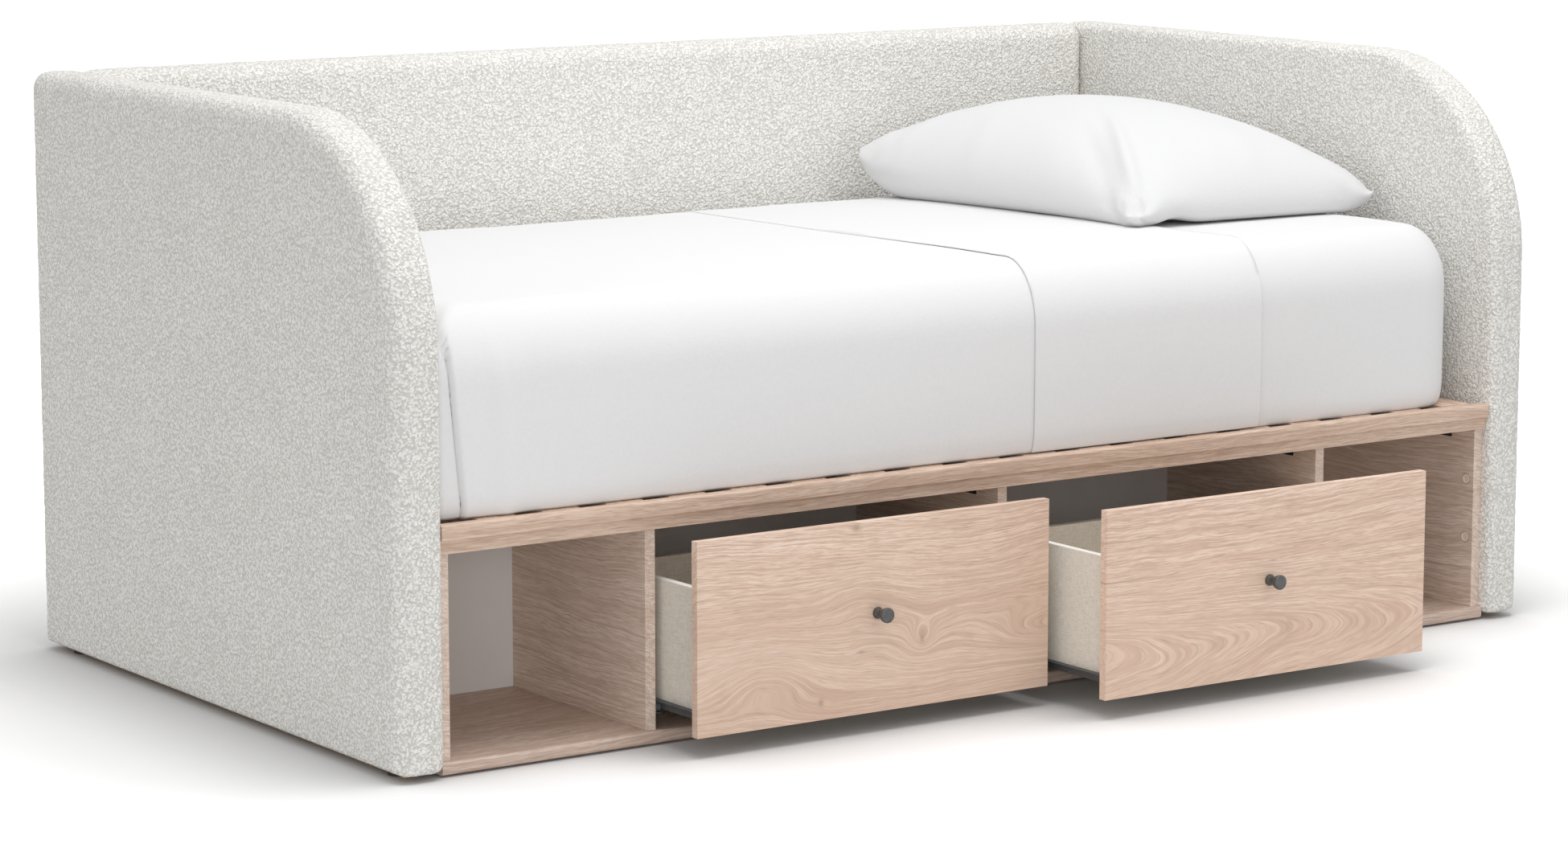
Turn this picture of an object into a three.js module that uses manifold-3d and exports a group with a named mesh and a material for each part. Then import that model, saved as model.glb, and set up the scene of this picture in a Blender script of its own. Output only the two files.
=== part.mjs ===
// Storage daybed: three upholstered panels round a slatted base with two open cubbies and two drawers.
// Units are millimetres, +Z is up, the front faces -Y. X = 0 is the middle of the width.
// Inside the daybed group y = 0 is the front plane of the side panels.

import * as THREE from 'three';
import { mergeVertices } from 'three/addons/utils/BufferGeometryUtils.js';
import Module from 'manifold-3d';

const wasm = await Module();
wasm.setup();

// Overall sizes and the three upholstered panels
const OVERALL_WIDTH = 2083;
const PANEL_DEPTH = 1127;
const OVERALL_HEIGHT = 904;
const PANEL_LIFT = 8.4;
const SIDE_PANEL_THICKNESS = 73.5;
const BACK_PANEL_THICKNESS = 72;
const FRONT_CORNER_RADIUS = 315;
const REAR_CORNER_RADIUS = 32;
const PANEL_EDGE_RADIUS = 24;
const FOAM_THICKNESS = 15;

// Clearances
const FIT_GAP = 0.3;
const CUT_OVERRUN = 5;

// Floor glides
const GLIDE_RADIUS = 15;
const GLIDE_INSET = 70;

// Boards of the storage cabinet
const BASE_LIFT = 3;
const BASE_THICKNESS = 18.4;
const BASE_SETBACK = 11.4;
const BASE_NOSE_RADIUS = 5;
const BOARD_THICKNESS = 16.7;
const BOARD_SETBACK = 19.5;
const BACK_BOARD_THICKNESS = 12;
const CUBBY_DEPTH = 362.5;
const CUBBY_HEIGHT = 291;
const CUBBY_WIDTH = 319.7;
const STRIP_THICKNESS = 19.4;
const STRIP_DEPTH = 100;
const STRIP_SETBACK = 11.7;

// Slatted base
const RAIL_SETBACK = 6;
const RAIL_DEPTH = 20;
const RAIL_HEIGHT = 21.7;
const RAIL_ARRIS_RADIUS = 4;
const SLAT_WIDTH = 60;
const SLAT_PITCH = 105;
const FIRST_SLAT_CENTRE = 98.3;
const TAPE_WIDTH = 25;
const TAPE_THICKNESS = 1.5;
const TAPE_SINK = 0.5;
const BEAM_HEIGHT = 60;
const BEAM_THICKNESS = 18;
const BEAM_LEG_SIZE = 35;
const beamLegPlaceShare = 0.33;

// Drawers
const FRONT_THICKNESS = 13.5;
const FRONT_REVEAL = 2.6;
const FRONT_TOP_GAP = 2.2;
const FRONT_BOTTOM_GAP = 9.3;
const CLOSED_GAP = 1;
const LEFT_DRAWER_OPEN = 102;
const RIGHT_DRAWER_OPEN = 231.4;
const BOX_WALL = 12;
const BOX_SIDE_HEIGHT = 185.2;
const BOX_BACK_DROP = 12;
const BOX_SIDE_CLEARANCE = 12.7;
const BOX_REAR_CLEARANCE = 48.2;
const BOX_BOTTOM_THICKNESS = 5;
const BOX_BOTTOM_RISE = 10;
const GROOVE_DEPTH = 5;

// Roller runners
const RUNNER_RISE = 23.1;
const RUNNER_METAL = 1.2;
const RUNNER_SHORTFALL = 15;
const RUNNER_HEADROOM = 2.5;
const RUNNER_FOOT_REACH = 10.2;
const RUNNER_LIP_REACH = 4;
const DRAWER_RAIL_HEIGHT = 13.2;
const DRAWER_RAIL_FOOT = 10;
const ROLLER_RADIUS = 8;
const ROLLER_WIDTH = 7.5;
const ROLLER_SIDE_GAP = 1.05;
const AXLE_RADIUS = 3;

// Knobs
const KNOB_RISE = 5;
const KNOB_LENGTH = 28.5;
const KNOB_HEAD_RADIUS = 10.3;
const KNOB_HEAD_THICKNESS = 8;
const KNOB_BASE_RADIUS = 8;
const KNOB_BASE_THICKNESS = 3;
const KNOB_NECK_RADIUS = 4;
const KNOB_SHANK_RADIUS = 2;
const knobFlareShare = 1.25;
const knobHeadShares = [[0.85, 0.25], [1, 0.5], [0.95, 0.75], [0.6, 0.94], [0, 1]];

// Bedding
const MATTRESS_HEIGHT = 286;
const MATTRESS_CROWN = 8;
const MATTRESS_FRONT_SETBACK = 36;
const MATTRESS_REAR_GAP = 35;
const MATTRESS_FOOT_GAP = 6;
const MATTRESS_HEAD_GAP = 38;
const MATTRESS_CORNER_RADIUS = 100;
const MATTRESS_TOP_RADIUS = 60;
const MATTRESS_BOTTOM_RADIUS = 22;
const MATTRESS_DRAW_IN = 7;
const SHEET_THICKNESS = 2;
const SHEET_HANG_GAP = 6;
const FOLD_FROM_HEAD = 430;
const FOLD_BAND = 440;
const PILLOW_WIDTH = 508;
const PILLOW_LENGTH = 660;
const PILLOW_LOFT = 165;
const PILLOW_FROM_HEAD_PANEL = 262;
const PILLOW_FROM_BACK_PANEL = 420;
const PILLOW_SEAM_THICKNESS = 4;

// Fineness of round shapes
const LARGE_ARC_STEPS = 16;
const SMALL_ARC_STEPS = 4;
const EDGE_STEPS = 3;
const ROUND_SIDES = 16;
const KNOB_SIDES = 24;
const CROWN_STEPS = 5;
const PILLOW_STEPS = 22;

// Places shared by several pieces
const halfWidth = OVERALL_WIDTH / 2;
const insideFace = halfWidth - SIDE_PANEL_THICKNESS;
const spanEnd = insideFace - FIT_GAP;
const backPanelFront = PANEL_DEPTH - BACK_PANEL_THICKNESS;
const baseTop = BASE_LIFT + BASE_THICKNESS;
const cubbyTop = baseTop + CUBBY_HEIGHT;
const stripTop = cubbyTop + STRIP_THICKNESS;
const railTop = stripTop + RAIL_HEIGHT;
const backBoardFront = BOARD_SETBACK + CUBBY_DEPTH;
const cabinetBack = backBoardFront + BACK_BOARD_THICKNESS;
const endPanelFace = spanEnd - BOARD_THICKNESS;
const dividerCentre = endPanelFace - CUBBY_WIDTH - BOARD_THICKNESS / 2;
const bayInner = BOARD_THICKNESS / 2;
const bayOuter = dividerCentre - BOARD_THICKNESS / 2;
const bayCentre = (bayInner + bayOuter) / 2;
const bayHalf = (bayOuter - bayInner) / 2;
const closedFace = BOARD_SETBACK - CLOSED_GAP - FRONT_THICKNESS;
const boxLength = backBoardFront - BOX_REAR_CLEARANCE - (closedFace + FRONT_THICKNESS);
const runnerLength = boxLength - RUNNER_SHORTFALL;
const runnerBottom = baseTop + RUNNER_RISE;
const rollerHeight = runnerBottom + RUNNER_METAL + FIT_GAP + ROLLER_RADIUS;
const drawerRailTop = rollerHeight + ROLLER_RADIUS + FIT_GAP + RUNNER_METAL;
const drawerRailBottom = drawerRailTop - DRAWER_RAIL_HEIGHT;
const boxSideBottom = drawerRailBottom + RUNNER_METAL + FIT_GAP;
const runnerTop = drawerRailTop + RUNNER_HEADROOM + RUNNER_METAL;
const rollerCentreOffset = FIT_GAP + RUNNER_METAL + ROLLER_SIDE_GAP + ROLLER_WIDTH / 2;
const rollerEndMargin = ROLLER_RADIUS + RUNNER_METAL;

// Finishes
const finishes = {
  boucle: { color: 0xe8e5de, roughness: 0.95, metalness: 0 },
  timber: { color: 0xc9a883, roughness: 0.8, metalness: 0 },
  laminate: { color: 0xd8b89f, roughness: 0.55, metalness: 0 },
  backing: { color: 0xc9cacc, roughness: 0.7, metalness: 0 },
  linen: { color: 0xdcd6c9, roughness: 0.75, metalness: 0 },
  steel: { color: 0x5a5f66, roughness: 0.45, metalness: 0.8 },
  nylon: { color: 0xdedede, roughness: 0.5, metalness: 0 },
  gunmetal: { color: 0x43494f, roughness: 0.35, metalness: 0.9 },
  glide: { color: 0x2c2c2e, roughness: 0.7, metalness: 0 },
  cotton: { color: 0xf3f3f4, roughness: 0.9, metalness: 0 },
};

function piece(parent, name, geometry, finish) {
  const mesh = new THREE.Mesh(geometry, new THREE.MeshStandardMaterial(finishes[finish]));
  mesh.name = name;
  parent.add(mesh);
  return mesh;
}

// Solids for joining and cutting
function toSolid(geometry) {
  const bare = geometry.clone();
  bare.deleteAttribute('normal');
  bare.deleteAttribute('uv');
  const merged = mergeVertices(bare);
  return new wasm.Manifold(new wasm.Mesh({
    numProp: 3,
    vertProperties: new Float32Array(merged.attributes.position.array),
    triVerts: new Uint32Array(merged.index.array),
  }));
}

function toGeometry(manifold) {
  const mesh = manifold.getMesh();
  const geometry = new THREE.BufferGeometry();
  geometry.setAttribute('position', new THREE.BufferAttribute(mesh.vertProperties, 3));
  geometry.setIndex(new THREE.BufferAttribute(mesh.triVerts, 1));
  geometry.computeVertexNormals();
  return geometry;
}

function boxBetween(low, high) {
  const geometry = new THREE.BoxGeometry(high[0] - low[0], high[1] - low[1], high[2] - low[2]);
  geometry.translate((low[0] + high[0]) / 2, (low[1] + high[1]) / 2, (low[2] + high[2]) / 2);
  return geometry;
}

// Points of a rectangle with its own radius at each corner, anticlockwise from the low left corner
function roundedOutline(left, low, right, high, radii, steps) {
  const corners = [
    [left, low, 1, 1, Math.PI],
    [right, low, -1, 1, 1.5 * Math.PI],
    [right, high, -1, -1, 0],
    [left, high, 1, -1, 0.5 * Math.PI],
  ];
  const points = [];
  corners.forEach(([x, y, inX, inY, startAngle], corner) => {
    const radius = radii[corner];
    if (radius === 0) {
      points.push(new THREE.Vector2(x, y));
      return;
    }
    for (let step = 0; step <= steps[corner]; step += 1) {
      const angle = startAngle + (step / steps[corner]) * 0.5 * Math.PI;
      const centreX = x + inX * radius;
      const centreY = y + inY * radius;
      points.push(new THREE.Vector2(centreX + radius * Math.cos(angle), centreY + radius * Math.sin(angle)));
    }
  });
  return points;
}

// A profile drawn in (y, z) and extruded along +X from a start
function extrudeAlongX(points, startX, length, bevel = 0) {
  const geometry = new THREE.ExtrudeGeometry(new THREE.Shape(points), {
    depth: length - 2 * bevel,
    steps: 1,
    bevelEnabled: bevel > 0,
    bevelSize: bevel,
    bevelThickness: bevel,
    bevelSegments: EDGE_STEPS,
  });
  const turn = new THREE.Matrix4().makeBasis(
    new THREE.Vector3(0, 1, 0),
    new THREE.Vector3(0, 0, 1),
    new THREE.Vector3(1, 0, 0),
  );
  geometry.applyMatrix4(turn);
  geometry.translate(startX + bevel, 0, 0);
  return geometry;
}

// A profile drawn in (x, z) and extruded along -Y from its rear face
function extrudeForward(points, rearY, length, bevel = 0) {
  const geometry = new THREE.ExtrudeGeometry(new THREE.Shape(points), {
    depth: length - 2 * bevel,
    steps: 1,
    bevelEnabled: bevel > 0,
    bevelSize: bevel,
    bevelThickness: bevel,
    bevelSegments: EDGE_STEPS,
  });
  const turn = new THREE.Matrix4().makeBasis(
    new THREE.Vector3(1, 0, 0),
    new THREE.Vector3(0, 0, 1),
    new THREE.Vector3(0, -1, 0),
  );
  geometry.applyMatrix4(turn);
  geometry.translate(0, rearY - bevel, 0);
  return geometry;
}

// Side panel outline in (y, z), drawn in by an inset and running down to a given foot height
function sideOutline(inset, foot) {
  const front = inset;
  const rear = PANEL_DEPTH - inset;
  const high = OVERALL_HEIGHT - inset;
  const frontRadius = FRONT_CORNER_RADIUS - inset;
  const rearRadius = Math.max(REAR_CORNER_RADIUS - inset, FIT_GAP);
  const radii = [0, 0, rearRadius, frontRadius];
  return roundedOutline(front, foot, rear, high, radii, [0, 0, SMALL_ARC_STEPS, LARGE_ARC_STEPS]);
}

// Back panel outline in (x, z) between the side panels
function backOutline(inset, foot) {
  const end = spanEnd - inset;
  const high = OVERALL_HEIGHT - inset;
  const radius = Math.max(REAR_CORNER_RADIUS - inset, FIT_GAP);
  const steps = [0, 0, SMALL_ARC_STEPS, SMALL_ARC_STEPS];
  return roundedOutline(-end, foot, end, high, [0, 0, radius, radius], steps);
}

// A padded cover: a soft outer form cut flat at the foot and hollowed for its board
function paddedCover(outer, hollow) {
  const reach = OVERALL_WIDTH;
  const below = boxBetween([-reach, -reach, -reach], [reach, reach, PANEL_LIFT]);
  return toGeometry(toSolid(outer).subtract(toSolid(below)).subtract(toSolid(hollow)));
}

function addSidePanel(parent, side, name) {
  const outerX = side < 0 ? -halfWidth : insideFace;
  const edge = PANEL_EDGE_RADIUS;
  const boardInset = FOAM_THICKNESS + FIT_GAP;
  const outer = extrudeAlongX(sideOutline(edge, PANEL_LIFT), outerX, SIDE_PANEL_THICKNESS, edge);
  const hollowFoot = PANEL_LIFT - CUT_OVERRUN;
  const hollowThickness = SIDE_PANEL_THICKNESS - 2 * FOAM_THICKNESS;
  const hollowOutline = sideOutline(FOAM_THICKNESS, hollowFoot);
  const hollow = extrudeAlongX(hollowOutline, outerX + FOAM_THICKNESS, hollowThickness);
  const boardThickness = SIDE_PANEL_THICKNESS - 2 * boardInset;
  const board = extrudeAlongX(sideOutline(boardInset, PANEL_LIFT), outerX + boardInset, boardThickness);
  piece(parent, `${name}_panel_cover`, paddedCover(outer, hollow), 'boucle');
  piece(parent, `${name}_panel_board`, board, 'timber');

  // Glides under both ends of the board
  const centreX = outerX + SIDE_PANEL_THICKNESS / 2;
  addGlide(parent, `glide_${name}_front`, centreX, GLIDE_INSET, PANEL_LIFT);
  addGlide(parent, `glide_${name}_rear`, centreX, PANEL_DEPTH - GLIDE_INSET, PANEL_LIFT);
}

function addBackPanel(parent) {
  const edge = PANEL_EDGE_RADIUS;
  const boardInset = FOAM_THICKNESS + FIT_GAP;
  const outer = extrudeForward(backOutline(edge, PANEL_LIFT), PANEL_DEPTH, BACK_PANEL_THICKNESS, edge);
  const hollowFoot = PANEL_LIFT - CUT_OVERRUN;
  const hollowThickness = BACK_PANEL_THICKNESS - 2 * FOAM_THICKNESS;
  const hollowOutline = backOutline(FOAM_THICKNESS, hollowFoot);
  const hollow = extrudeForward(hollowOutline, PANEL_DEPTH - FOAM_THICKNESS, hollowThickness);
  const boardThickness = BACK_PANEL_THICKNESS - 2 * boardInset;
  const boardOutline = backOutline(boardInset, PANEL_LIFT);
  const board = extrudeForward(boardOutline, PANEL_DEPTH - boardInset, boardThickness);
  piece(parent, 'back_panel_cover', paddedCover(outer, hollow), 'boucle');
  piece(parent, 'back_panel_board', board, 'timber');
}

function addGlide(parent, name, x, y, seatHeight) {
  const height = seatHeight - FIT_GAP;
  const geometry = new THREE.CylinderGeometry(GLIDE_RADIUS, GLIDE_RADIUS, height, ROUND_SIDES);
  geometry.rotateX(Math.PI / 2);
  const glide = piece(parent, name, geometry, 'glide');
  glide.position.set(x, y, height / 2);
}

// Cabinet boards round the two cubbies and the two drawer bays
function addCabinet(parent) {
  const nose = [BASE_NOSE_RADIUS, 0, 0, BASE_NOSE_RADIUS];
  const noseSteps = [SMALL_ARC_STEPS, 0, 0, SMALL_ARC_STEPS];
  const base = roundedOutline(BASE_SETBACK, BASE_LIFT, cabinetBack, baseTop, nose, noseSteps);
  piece(parent, 'base_board', extrudeAlongX(base, -spanEnd, 2 * spanEnd), 'laminate');
  addGlide(parent, 'base_glide_front', 0, GLIDE_INSET, BASE_LIFT);
  addGlide(parent, 'base_glide_rear', 0, cabinetBack - GLIDE_INSET, BASE_LIFT);

  const low = baseTop + FIT_GAP;
  const high = cubbyTop - FIT_GAP;
  const uprights = [
    ['end_panel_left', -spanEnd, cabinetBack],
    ['divider_left', -dividerCentre - BOARD_THICKNESS / 2, backBoardFront - FIT_GAP],
    ['divider_centre', -BOARD_THICKNESS / 2, backBoardFront - FIT_GAP],
    ['divider_right', dividerCentre - BOARD_THICKNESS / 2, backBoardFront - FIT_GAP],
    ['end_panel_right', endPanelFace, cabinetBack],
  ];
  uprights.forEach(([name, x, rear]) => {
    const geometry = boxBetween([x, BOARD_SETBACK, low], [x + BOARD_THICKNESS, rear, high]);
    piece(parent, name, geometry, 'laminate');
  });

  const backEnd = endPanelFace - FIT_GAP;
  const back = boxBetween([-backEnd, backBoardFront, low], [backEnd, cabinetBack, high]);
  piece(parent, 'back_board', back, 'backing');

  const stripRear = STRIP_SETBACK + STRIP_DEPTH;
  const frontStrip = boxBetween([-spanEnd, STRIP_SETBACK, cubbyTop], [spanEnd, stripRear, stripTop]);
  piece(parent, 'front_top_strip', frontStrip, 'laminate');
  const rearStripFront = cabinetBack - STRIP_DEPTH;
  const rearStrip = boxBetween([-spanEnd, rearStripFront, cubbyTop], [spanEnd, cabinetBack, stripTop]);
  piece(parent, 'rear_top_strip', rearStrip, 'laminate');
}

// Slats on tapes, with the rail in front of them and the bearers under them
function addSlatBase(parent) {
  const arris = [0, 0, RAIL_ARRIS_RADIUS, RAIL_ARRIS_RADIUS];
  const arrisSteps = [0, 0, SMALL_ARC_STEPS, SMALL_ARC_STEPS];
  const railRear = RAIL_SETBACK + RAIL_DEPTH;
  const railLow = stripTop + FIT_GAP;
  const rail = roundedOutline(RAIL_SETBACK, railLow, railRear, railTop, arris, arrisSteps);
  piece(parent, 'front_rail', extrudeAlongX(rail, -spanEnd, 2 * spanEnd), 'laminate');

  const slatFront = railRear + FIT_GAP;
  const slatRear = backPanelFront - FIT_GAP;
  const slatLow = stripTop + FIT_GAP;
  const usable = 2 * insideFace - FIRST_SLAT_CENTRE - SLAT_WIDTH / 2;
  const slatCount = Math.floor(usable / SLAT_PITCH) + 1;
  const firstX = -insideFace + FIRST_SLAT_CENTRE;
  const ledgerFront = slatRear - BEAM_THICKNESS;
  const beamCentre = (cabinetBack + ledgerFront) / 2;
  const cabinetMiddle = (STRIP_SETBACK + cabinetBack) / 2;
  const tapeCentres = [cabinetMiddle, (beamCentre + ledgerFront) / 2];
  let roll = null;
  for (let index = 0; index < slatCount; index += 1) {
    const x = firstX + index * SLAT_PITCH;
    const left = x - SLAT_WIDTH / 2;
    const slat = boxBetween([left, slatFront, slatLow], [left + SLAT_WIDTH, slatRear, railTop]);
    roll = roll ? roll.add(toSolid(slat)) : toSolid(slat);
  }
  const lastX = firstX + (slatCount - 1) * SLAT_PITCH;
  tapeCentres.forEach((centre) => {
    const low = [firstX - SLAT_WIDTH / 2 + TAPE_WIDTH / 2, centre - TAPE_WIDTH / 2, slatLow - TAPE_THICKNESS];
    const high = [lastX + SLAT_WIDTH / 2 - TAPE_WIDTH / 2, centre + TAPE_WIDTH / 2, slatLow + TAPE_SINK];
    roll = roll.add(toSolid(boxBetween(low, high)));
  });
  piece(parent, 'slat_roll', toGeometry(roll), 'timber');

  const beamLow = stripTop - BEAM_HEIGHT;
  const ledger = boxBetween([-spanEnd, ledgerFront, beamLow], [spanEnd, slatRear, stripTop]);
  piece(parent, 'rear_ledger', ledger, 'timber');
  const beamFront = beamCentre - BEAM_THICKNESS / 2;
  const beam = boxBetween([-spanEnd, beamFront, beamLow], [spanEnd, beamFront + BEAM_THICKNESS, stripTop]);
  piece(parent, 'mid_beam', beam, 'timber');
  const legHeight = beamLow - FIT_GAP;
  [['beam_leg_left', -1], ['beam_leg_right', 1]].forEach(([name, side]) => {
    const leg = piece(parent, name, new THREE.BoxGeometry(BEAM_LEG_SIZE, BEAM_LEG_SIZE, legHeight), 'timber');
    leg.position.set(side * insideFace * beamLegPlaceShare, beamCentre, legHeight / 2);
  });
}

// Roller and axle shapes lie along X
function alongX(geometry) {
  geometry.rotateZ(-Math.PI / 2);
  return geometry;
}

function rollerGeometry() {
  const bore = AXLE_RADIUS + FIT_GAP;
  const halfWidthOfRoller = ROLLER_WIDTH / 2;
  const profile = [
    new THREE.Vector2(bore, -halfWidthOfRoller),
    new THREE.Vector2(ROLLER_RADIUS, -halfWidthOfRoller),
    new THREE.Vector2(ROLLER_RADIUS, halfWidthOfRoller),
    new THREE.Vector2(bore, halfWidthOfRoller),
    new THREE.Vector2(bore, -halfWidthOfRoller),
  ];
  return alongX(new THREE.LatheGeometry(profile, ROUND_SIDES));
}

// Cabinet runner against x = 0 and reaching towards +X, with its roller axle near the front
function cabinetRunnerGeometry(axleY) {
  const near = FIT_GAP;
  const web = near + RUNNER_METAL;
  const outline = [
    [near, runnerBottom],
    [RUNNER_FOOT_REACH, runnerBottom],
    [RUNNER_FOOT_REACH, runnerBottom + RUNNER_METAL],
    [web, runnerBottom + RUNNER_METAL],
    [web, runnerTop - RUNNER_METAL],
    [RUNNER_LIP_REACH, runnerTop - RUNNER_METAL],
    [RUNNER_LIP_REACH, runnerTop],
    [near, runnerTop],
  ].map(([x, z]) => new THREE.Vector2(x, z));
  const channel = extrudeForward(outline, runnerLength, runnerLength);
  const axleEnd = rollerCentreOffset + ROLLER_WIDTH / 2 + FIT_GAP;
  const axleLength = axleEnd - near;
  const axle = alongX(new THREE.CylinderGeometry(AXLE_RADIUS, AXLE_RADIUS, axleLength, ROUND_SIDES));
  axle.translate(near + axleLength / 2, axleY, rollerHeight);
  return toGeometry(toSolid(channel).add(toSolid(axle)));
}

// Drawer rail beside a drawer wall: x = 0 is the cabinet side, and the rail lies next to the box
function drawerRailGeometry(axleY) {
  const far = BOX_SIDE_CLEARANCE - FIT_GAP;
  const web = far - RUNNER_METAL;
  const lip = rollerCentreOffset - ROLLER_WIDTH / 2;
  const footEnd = far + DRAWER_RAIL_FOOT;
  const outline = [
    [web, drawerRailBottom],
    [footEnd, drawerRailBottom],
    [footEnd, drawerRailBottom + RUNNER_METAL],
    [far, drawerRailBottom + RUNNER_METAL],
    [far, drawerRailTop],
    [lip, drawerRailTop],
    [lip, drawerRailTop - RUNNER_METAL],
    [web, drawerRailTop - RUNNER_METAL],
  ].map(([x, z]) => new THREE.Vector2(x, z));
  const channel = extrudeForward(outline, runnerLength, runnerLength);
  const axleStart = rollerCentreOffset - ROLLER_WIDTH / 2 - FIT_GAP;
  const axleLength = far - axleStart;
  const axle = alongX(new THREE.CylinderGeometry(AXLE_RADIUS, AXLE_RADIUS, axleLength, ROUND_SIDES));
  axle.translate(axleStart + axleLength / 2, axleY, rollerHeight);
  return toGeometry(toSolid(channel).add(toSolid(axle)));
}

// Mirrors a geometry in x and keeps its faces pointing out
function mirrored(geometry, side) {
  if (side > 0) return geometry;
  const flipped = geometry.toNonIndexed();
  flipped.scale(-1, 1, 1);
  const position = flipped.attributes.position;
  for (let first = 0; first < position.count; first += 3) {
    const second = new THREE.Vector3().fromBufferAttribute(position, first + 1);
    const third = new THREE.Vector3().fromBufferAttribute(position, first + 2);
    position.setXYZ(first + 1, third.x, third.y, third.z);
    position.setXYZ(first + 2, second.x, second.y, second.z);
  }
  return flipped;
}

function addCabinetRunners(parent, side, name) {
  const walls = [
    ['inner', bayInner, 1],
    ['outer', bayOuter, -1],
  ];
  walls.forEach(([place, wall, reach]) => {
    const direction = side * reach;
    const member = mirrored(cabinetRunnerGeometry(rollerEndMargin), direction);
    const runner = piece(parent, `${name}_runner_${place}`, member, 'steel');
    runner.position.set(side * wall, BOARD_SETBACK + FIT_GAP, 0);
    const roller = piece(parent, `${name}_runner_roller_${place}`, rollerGeometry(), 'nylon');
    const rollerX = side * wall + direction * rollerCentreOffset;
    roller.position.set(rollerX, BOARD_SETBACK + FIT_GAP + rollerEndMargin, rollerHeight);
  });
}

function knobGeometry() {
  const shankStart = -FRONT_THICKNESS;
  const neckStart = knobFlareShare * KNOB_BASE_THICKNESS;
  const headStart = KNOB_LENGTH - KNOB_HEAD_THICKNESS;
  const flare = knobFlareShare * KNOB_NECK_RADIUS;
  const head = knobHeadShares.map(([across, along]) => [
    across * KNOB_HEAD_RADIUS,
    headStart + along * KNOB_HEAD_THICKNESS,
  ]);
  const profile = [
    [0, shankStart],
    [KNOB_SHANK_RADIUS, shankStart],
    [KNOB_SHANK_RADIUS, FIT_GAP],
    [KNOB_BASE_RADIUS, FIT_GAP],
    [KNOB_BASE_RADIUS, KNOB_BASE_THICKNESS],
    [flare, neckStart],
    [KNOB_NECK_RADIUS, (neckStart + headStart) / 2],
    [flare, headStart],
    ...head,
  ].map(([radius, height]) => new THREE.Vector2(radius, height));
  const geometry = new THREE.LatheGeometry(profile, KNOB_SIDES);
  geometry.rotateX(Math.PI);
  return geometry;
}

// One drawer, built at x = 0 with its front face at y = 0
function addDrawer(parent, side, name, openBy) {
  const drawer = new THREE.Group();
  drawer.position.set(side * bayCentre, closedFace - openBy, 0);
  parent.add(drawer);

  // Front board with the bore for the knob's shank and the groove for the bottom
  const frontHalf = (dividerCentre - 2 * FRONT_REVEAL) / 2;
  const frontLow = baseTop + FRONT_BOTTOM_GAP;
  const frontHigh = cubbyTop - FRONT_TOP_GAP;
  const knobHeight = (frontLow + frontHigh) / 2 + KNOB_RISE;
  const bottomLow = boxSideBottom + BOX_BOTTOM_RISE;
  const bottomHigh = bottomLow + BOX_BOTTOM_THICKNESS;
  const boxHalf = bayHalf - BOX_SIDE_CLEARANCE;
  const boxFront = FRONT_THICKNESS + FIT_GAP;
  const boxRear = FRONT_THICKNESS + boxLength;
  const bottomHalf = boxHalf - BOX_WALL + GROOVE_DEPTH - FIT_GAP;
  const grooveLow = bottomLow - FIT_GAP;
  const grooveHigh = bottomHigh + FIT_GAP;
  const grooveHalf = bottomHalf + FIT_GAP;

  const boreRadius = KNOB_SHANK_RADIUS + FIT_GAP;
  const boreLength = FRONT_THICKNESS + 2 * CUT_OVERRUN;
  const bore = new THREE.CylinderGeometry(boreRadius, boreRadius, boreLength, ROUND_SIDES);
  bore.translate(0, FRONT_THICKNESS / 2, 0);
  bore.translate(0, 0, knobHeight);
  const front = toSolid(boxBetween([-frontHalf, 0, frontLow], [frontHalf, FRONT_THICKNESS, frontHigh]));
  piece(drawer, `${name}_front`, toGeometry(front.subtract(toSolid(bore))), 'laminate');

  const knob = piece(drawer, `${name}_knob`, knobGeometry(), 'gunmetal');
  knob.position.set(0, 0, knobHeight);

  // Side walls grooved for the bottom
  const grooveRear = boxRear + CUT_OVERRUN;
  const groove = boxBetween([-grooveHalf, 0, grooveLow], [grooveHalf, grooveRear, grooveHigh]);
  const sideHigh = boxSideBottom + BOX_SIDE_HEIGHT;
  [-1, 1].forEach((hand) => {
    const place = hand === side ? 'outer' : 'inner';
    const faces = [hand * boxHalf, hand * (boxHalf - BOX_WALL)];
    const low = [Math.min(...faces), boxFront, boxSideBottom];
    const high = [Math.max(...faces), boxRear, sideHigh];
    const wall = toSolid(boxBetween(low, high)).subtract(toSolid(groove));
    piece(drawer, `${name}_side_${place}`, toGeometry(wall), 'linen');

    // Drawer rail and its rear roller
    const cabinetWall = hand * (boxHalf + BOX_SIDE_CLEARANCE);
    const axleY = runnerLength - rollerEndMargin;
    const rail = piece(drawer, `${name}_rail_${place}`, mirrored(drawerRailGeometry(axleY), -hand), 'steel');
    rail.position.set(cabinetWall, boxFront, 0);
    const roller = piece(drawer, `${name}_roller_${place}`, rollerGeometry(), 'nylon');
    roller.position.set(cabinetWall - hand * rollerCentreOffset, boxFront + axleY, rollerHeight);
  });

  // Bottom in the grooves, and the back standing on it between the sides
  const bottom = boxBetween([-bottomHalf, boxFront, bottomLow], [bottomHalf, boxRear, bottomHigh]);
  piece(drawer, `${name}_bottom`, bottom, 'linen');
  const backHalf = boxHalf - BOX_WALL - FIT_GAP;
  const backLow = [-backHalf, boxRear - BOX_WALL, bottomHigh + FIT_GAP];
  const back = boxBetween(backLow, [backHalf, boxRear, sideHigh - BOX_BACK_DROP]);
  piece(drawer, `${name}_back`, back, 'linen');
}

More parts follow.
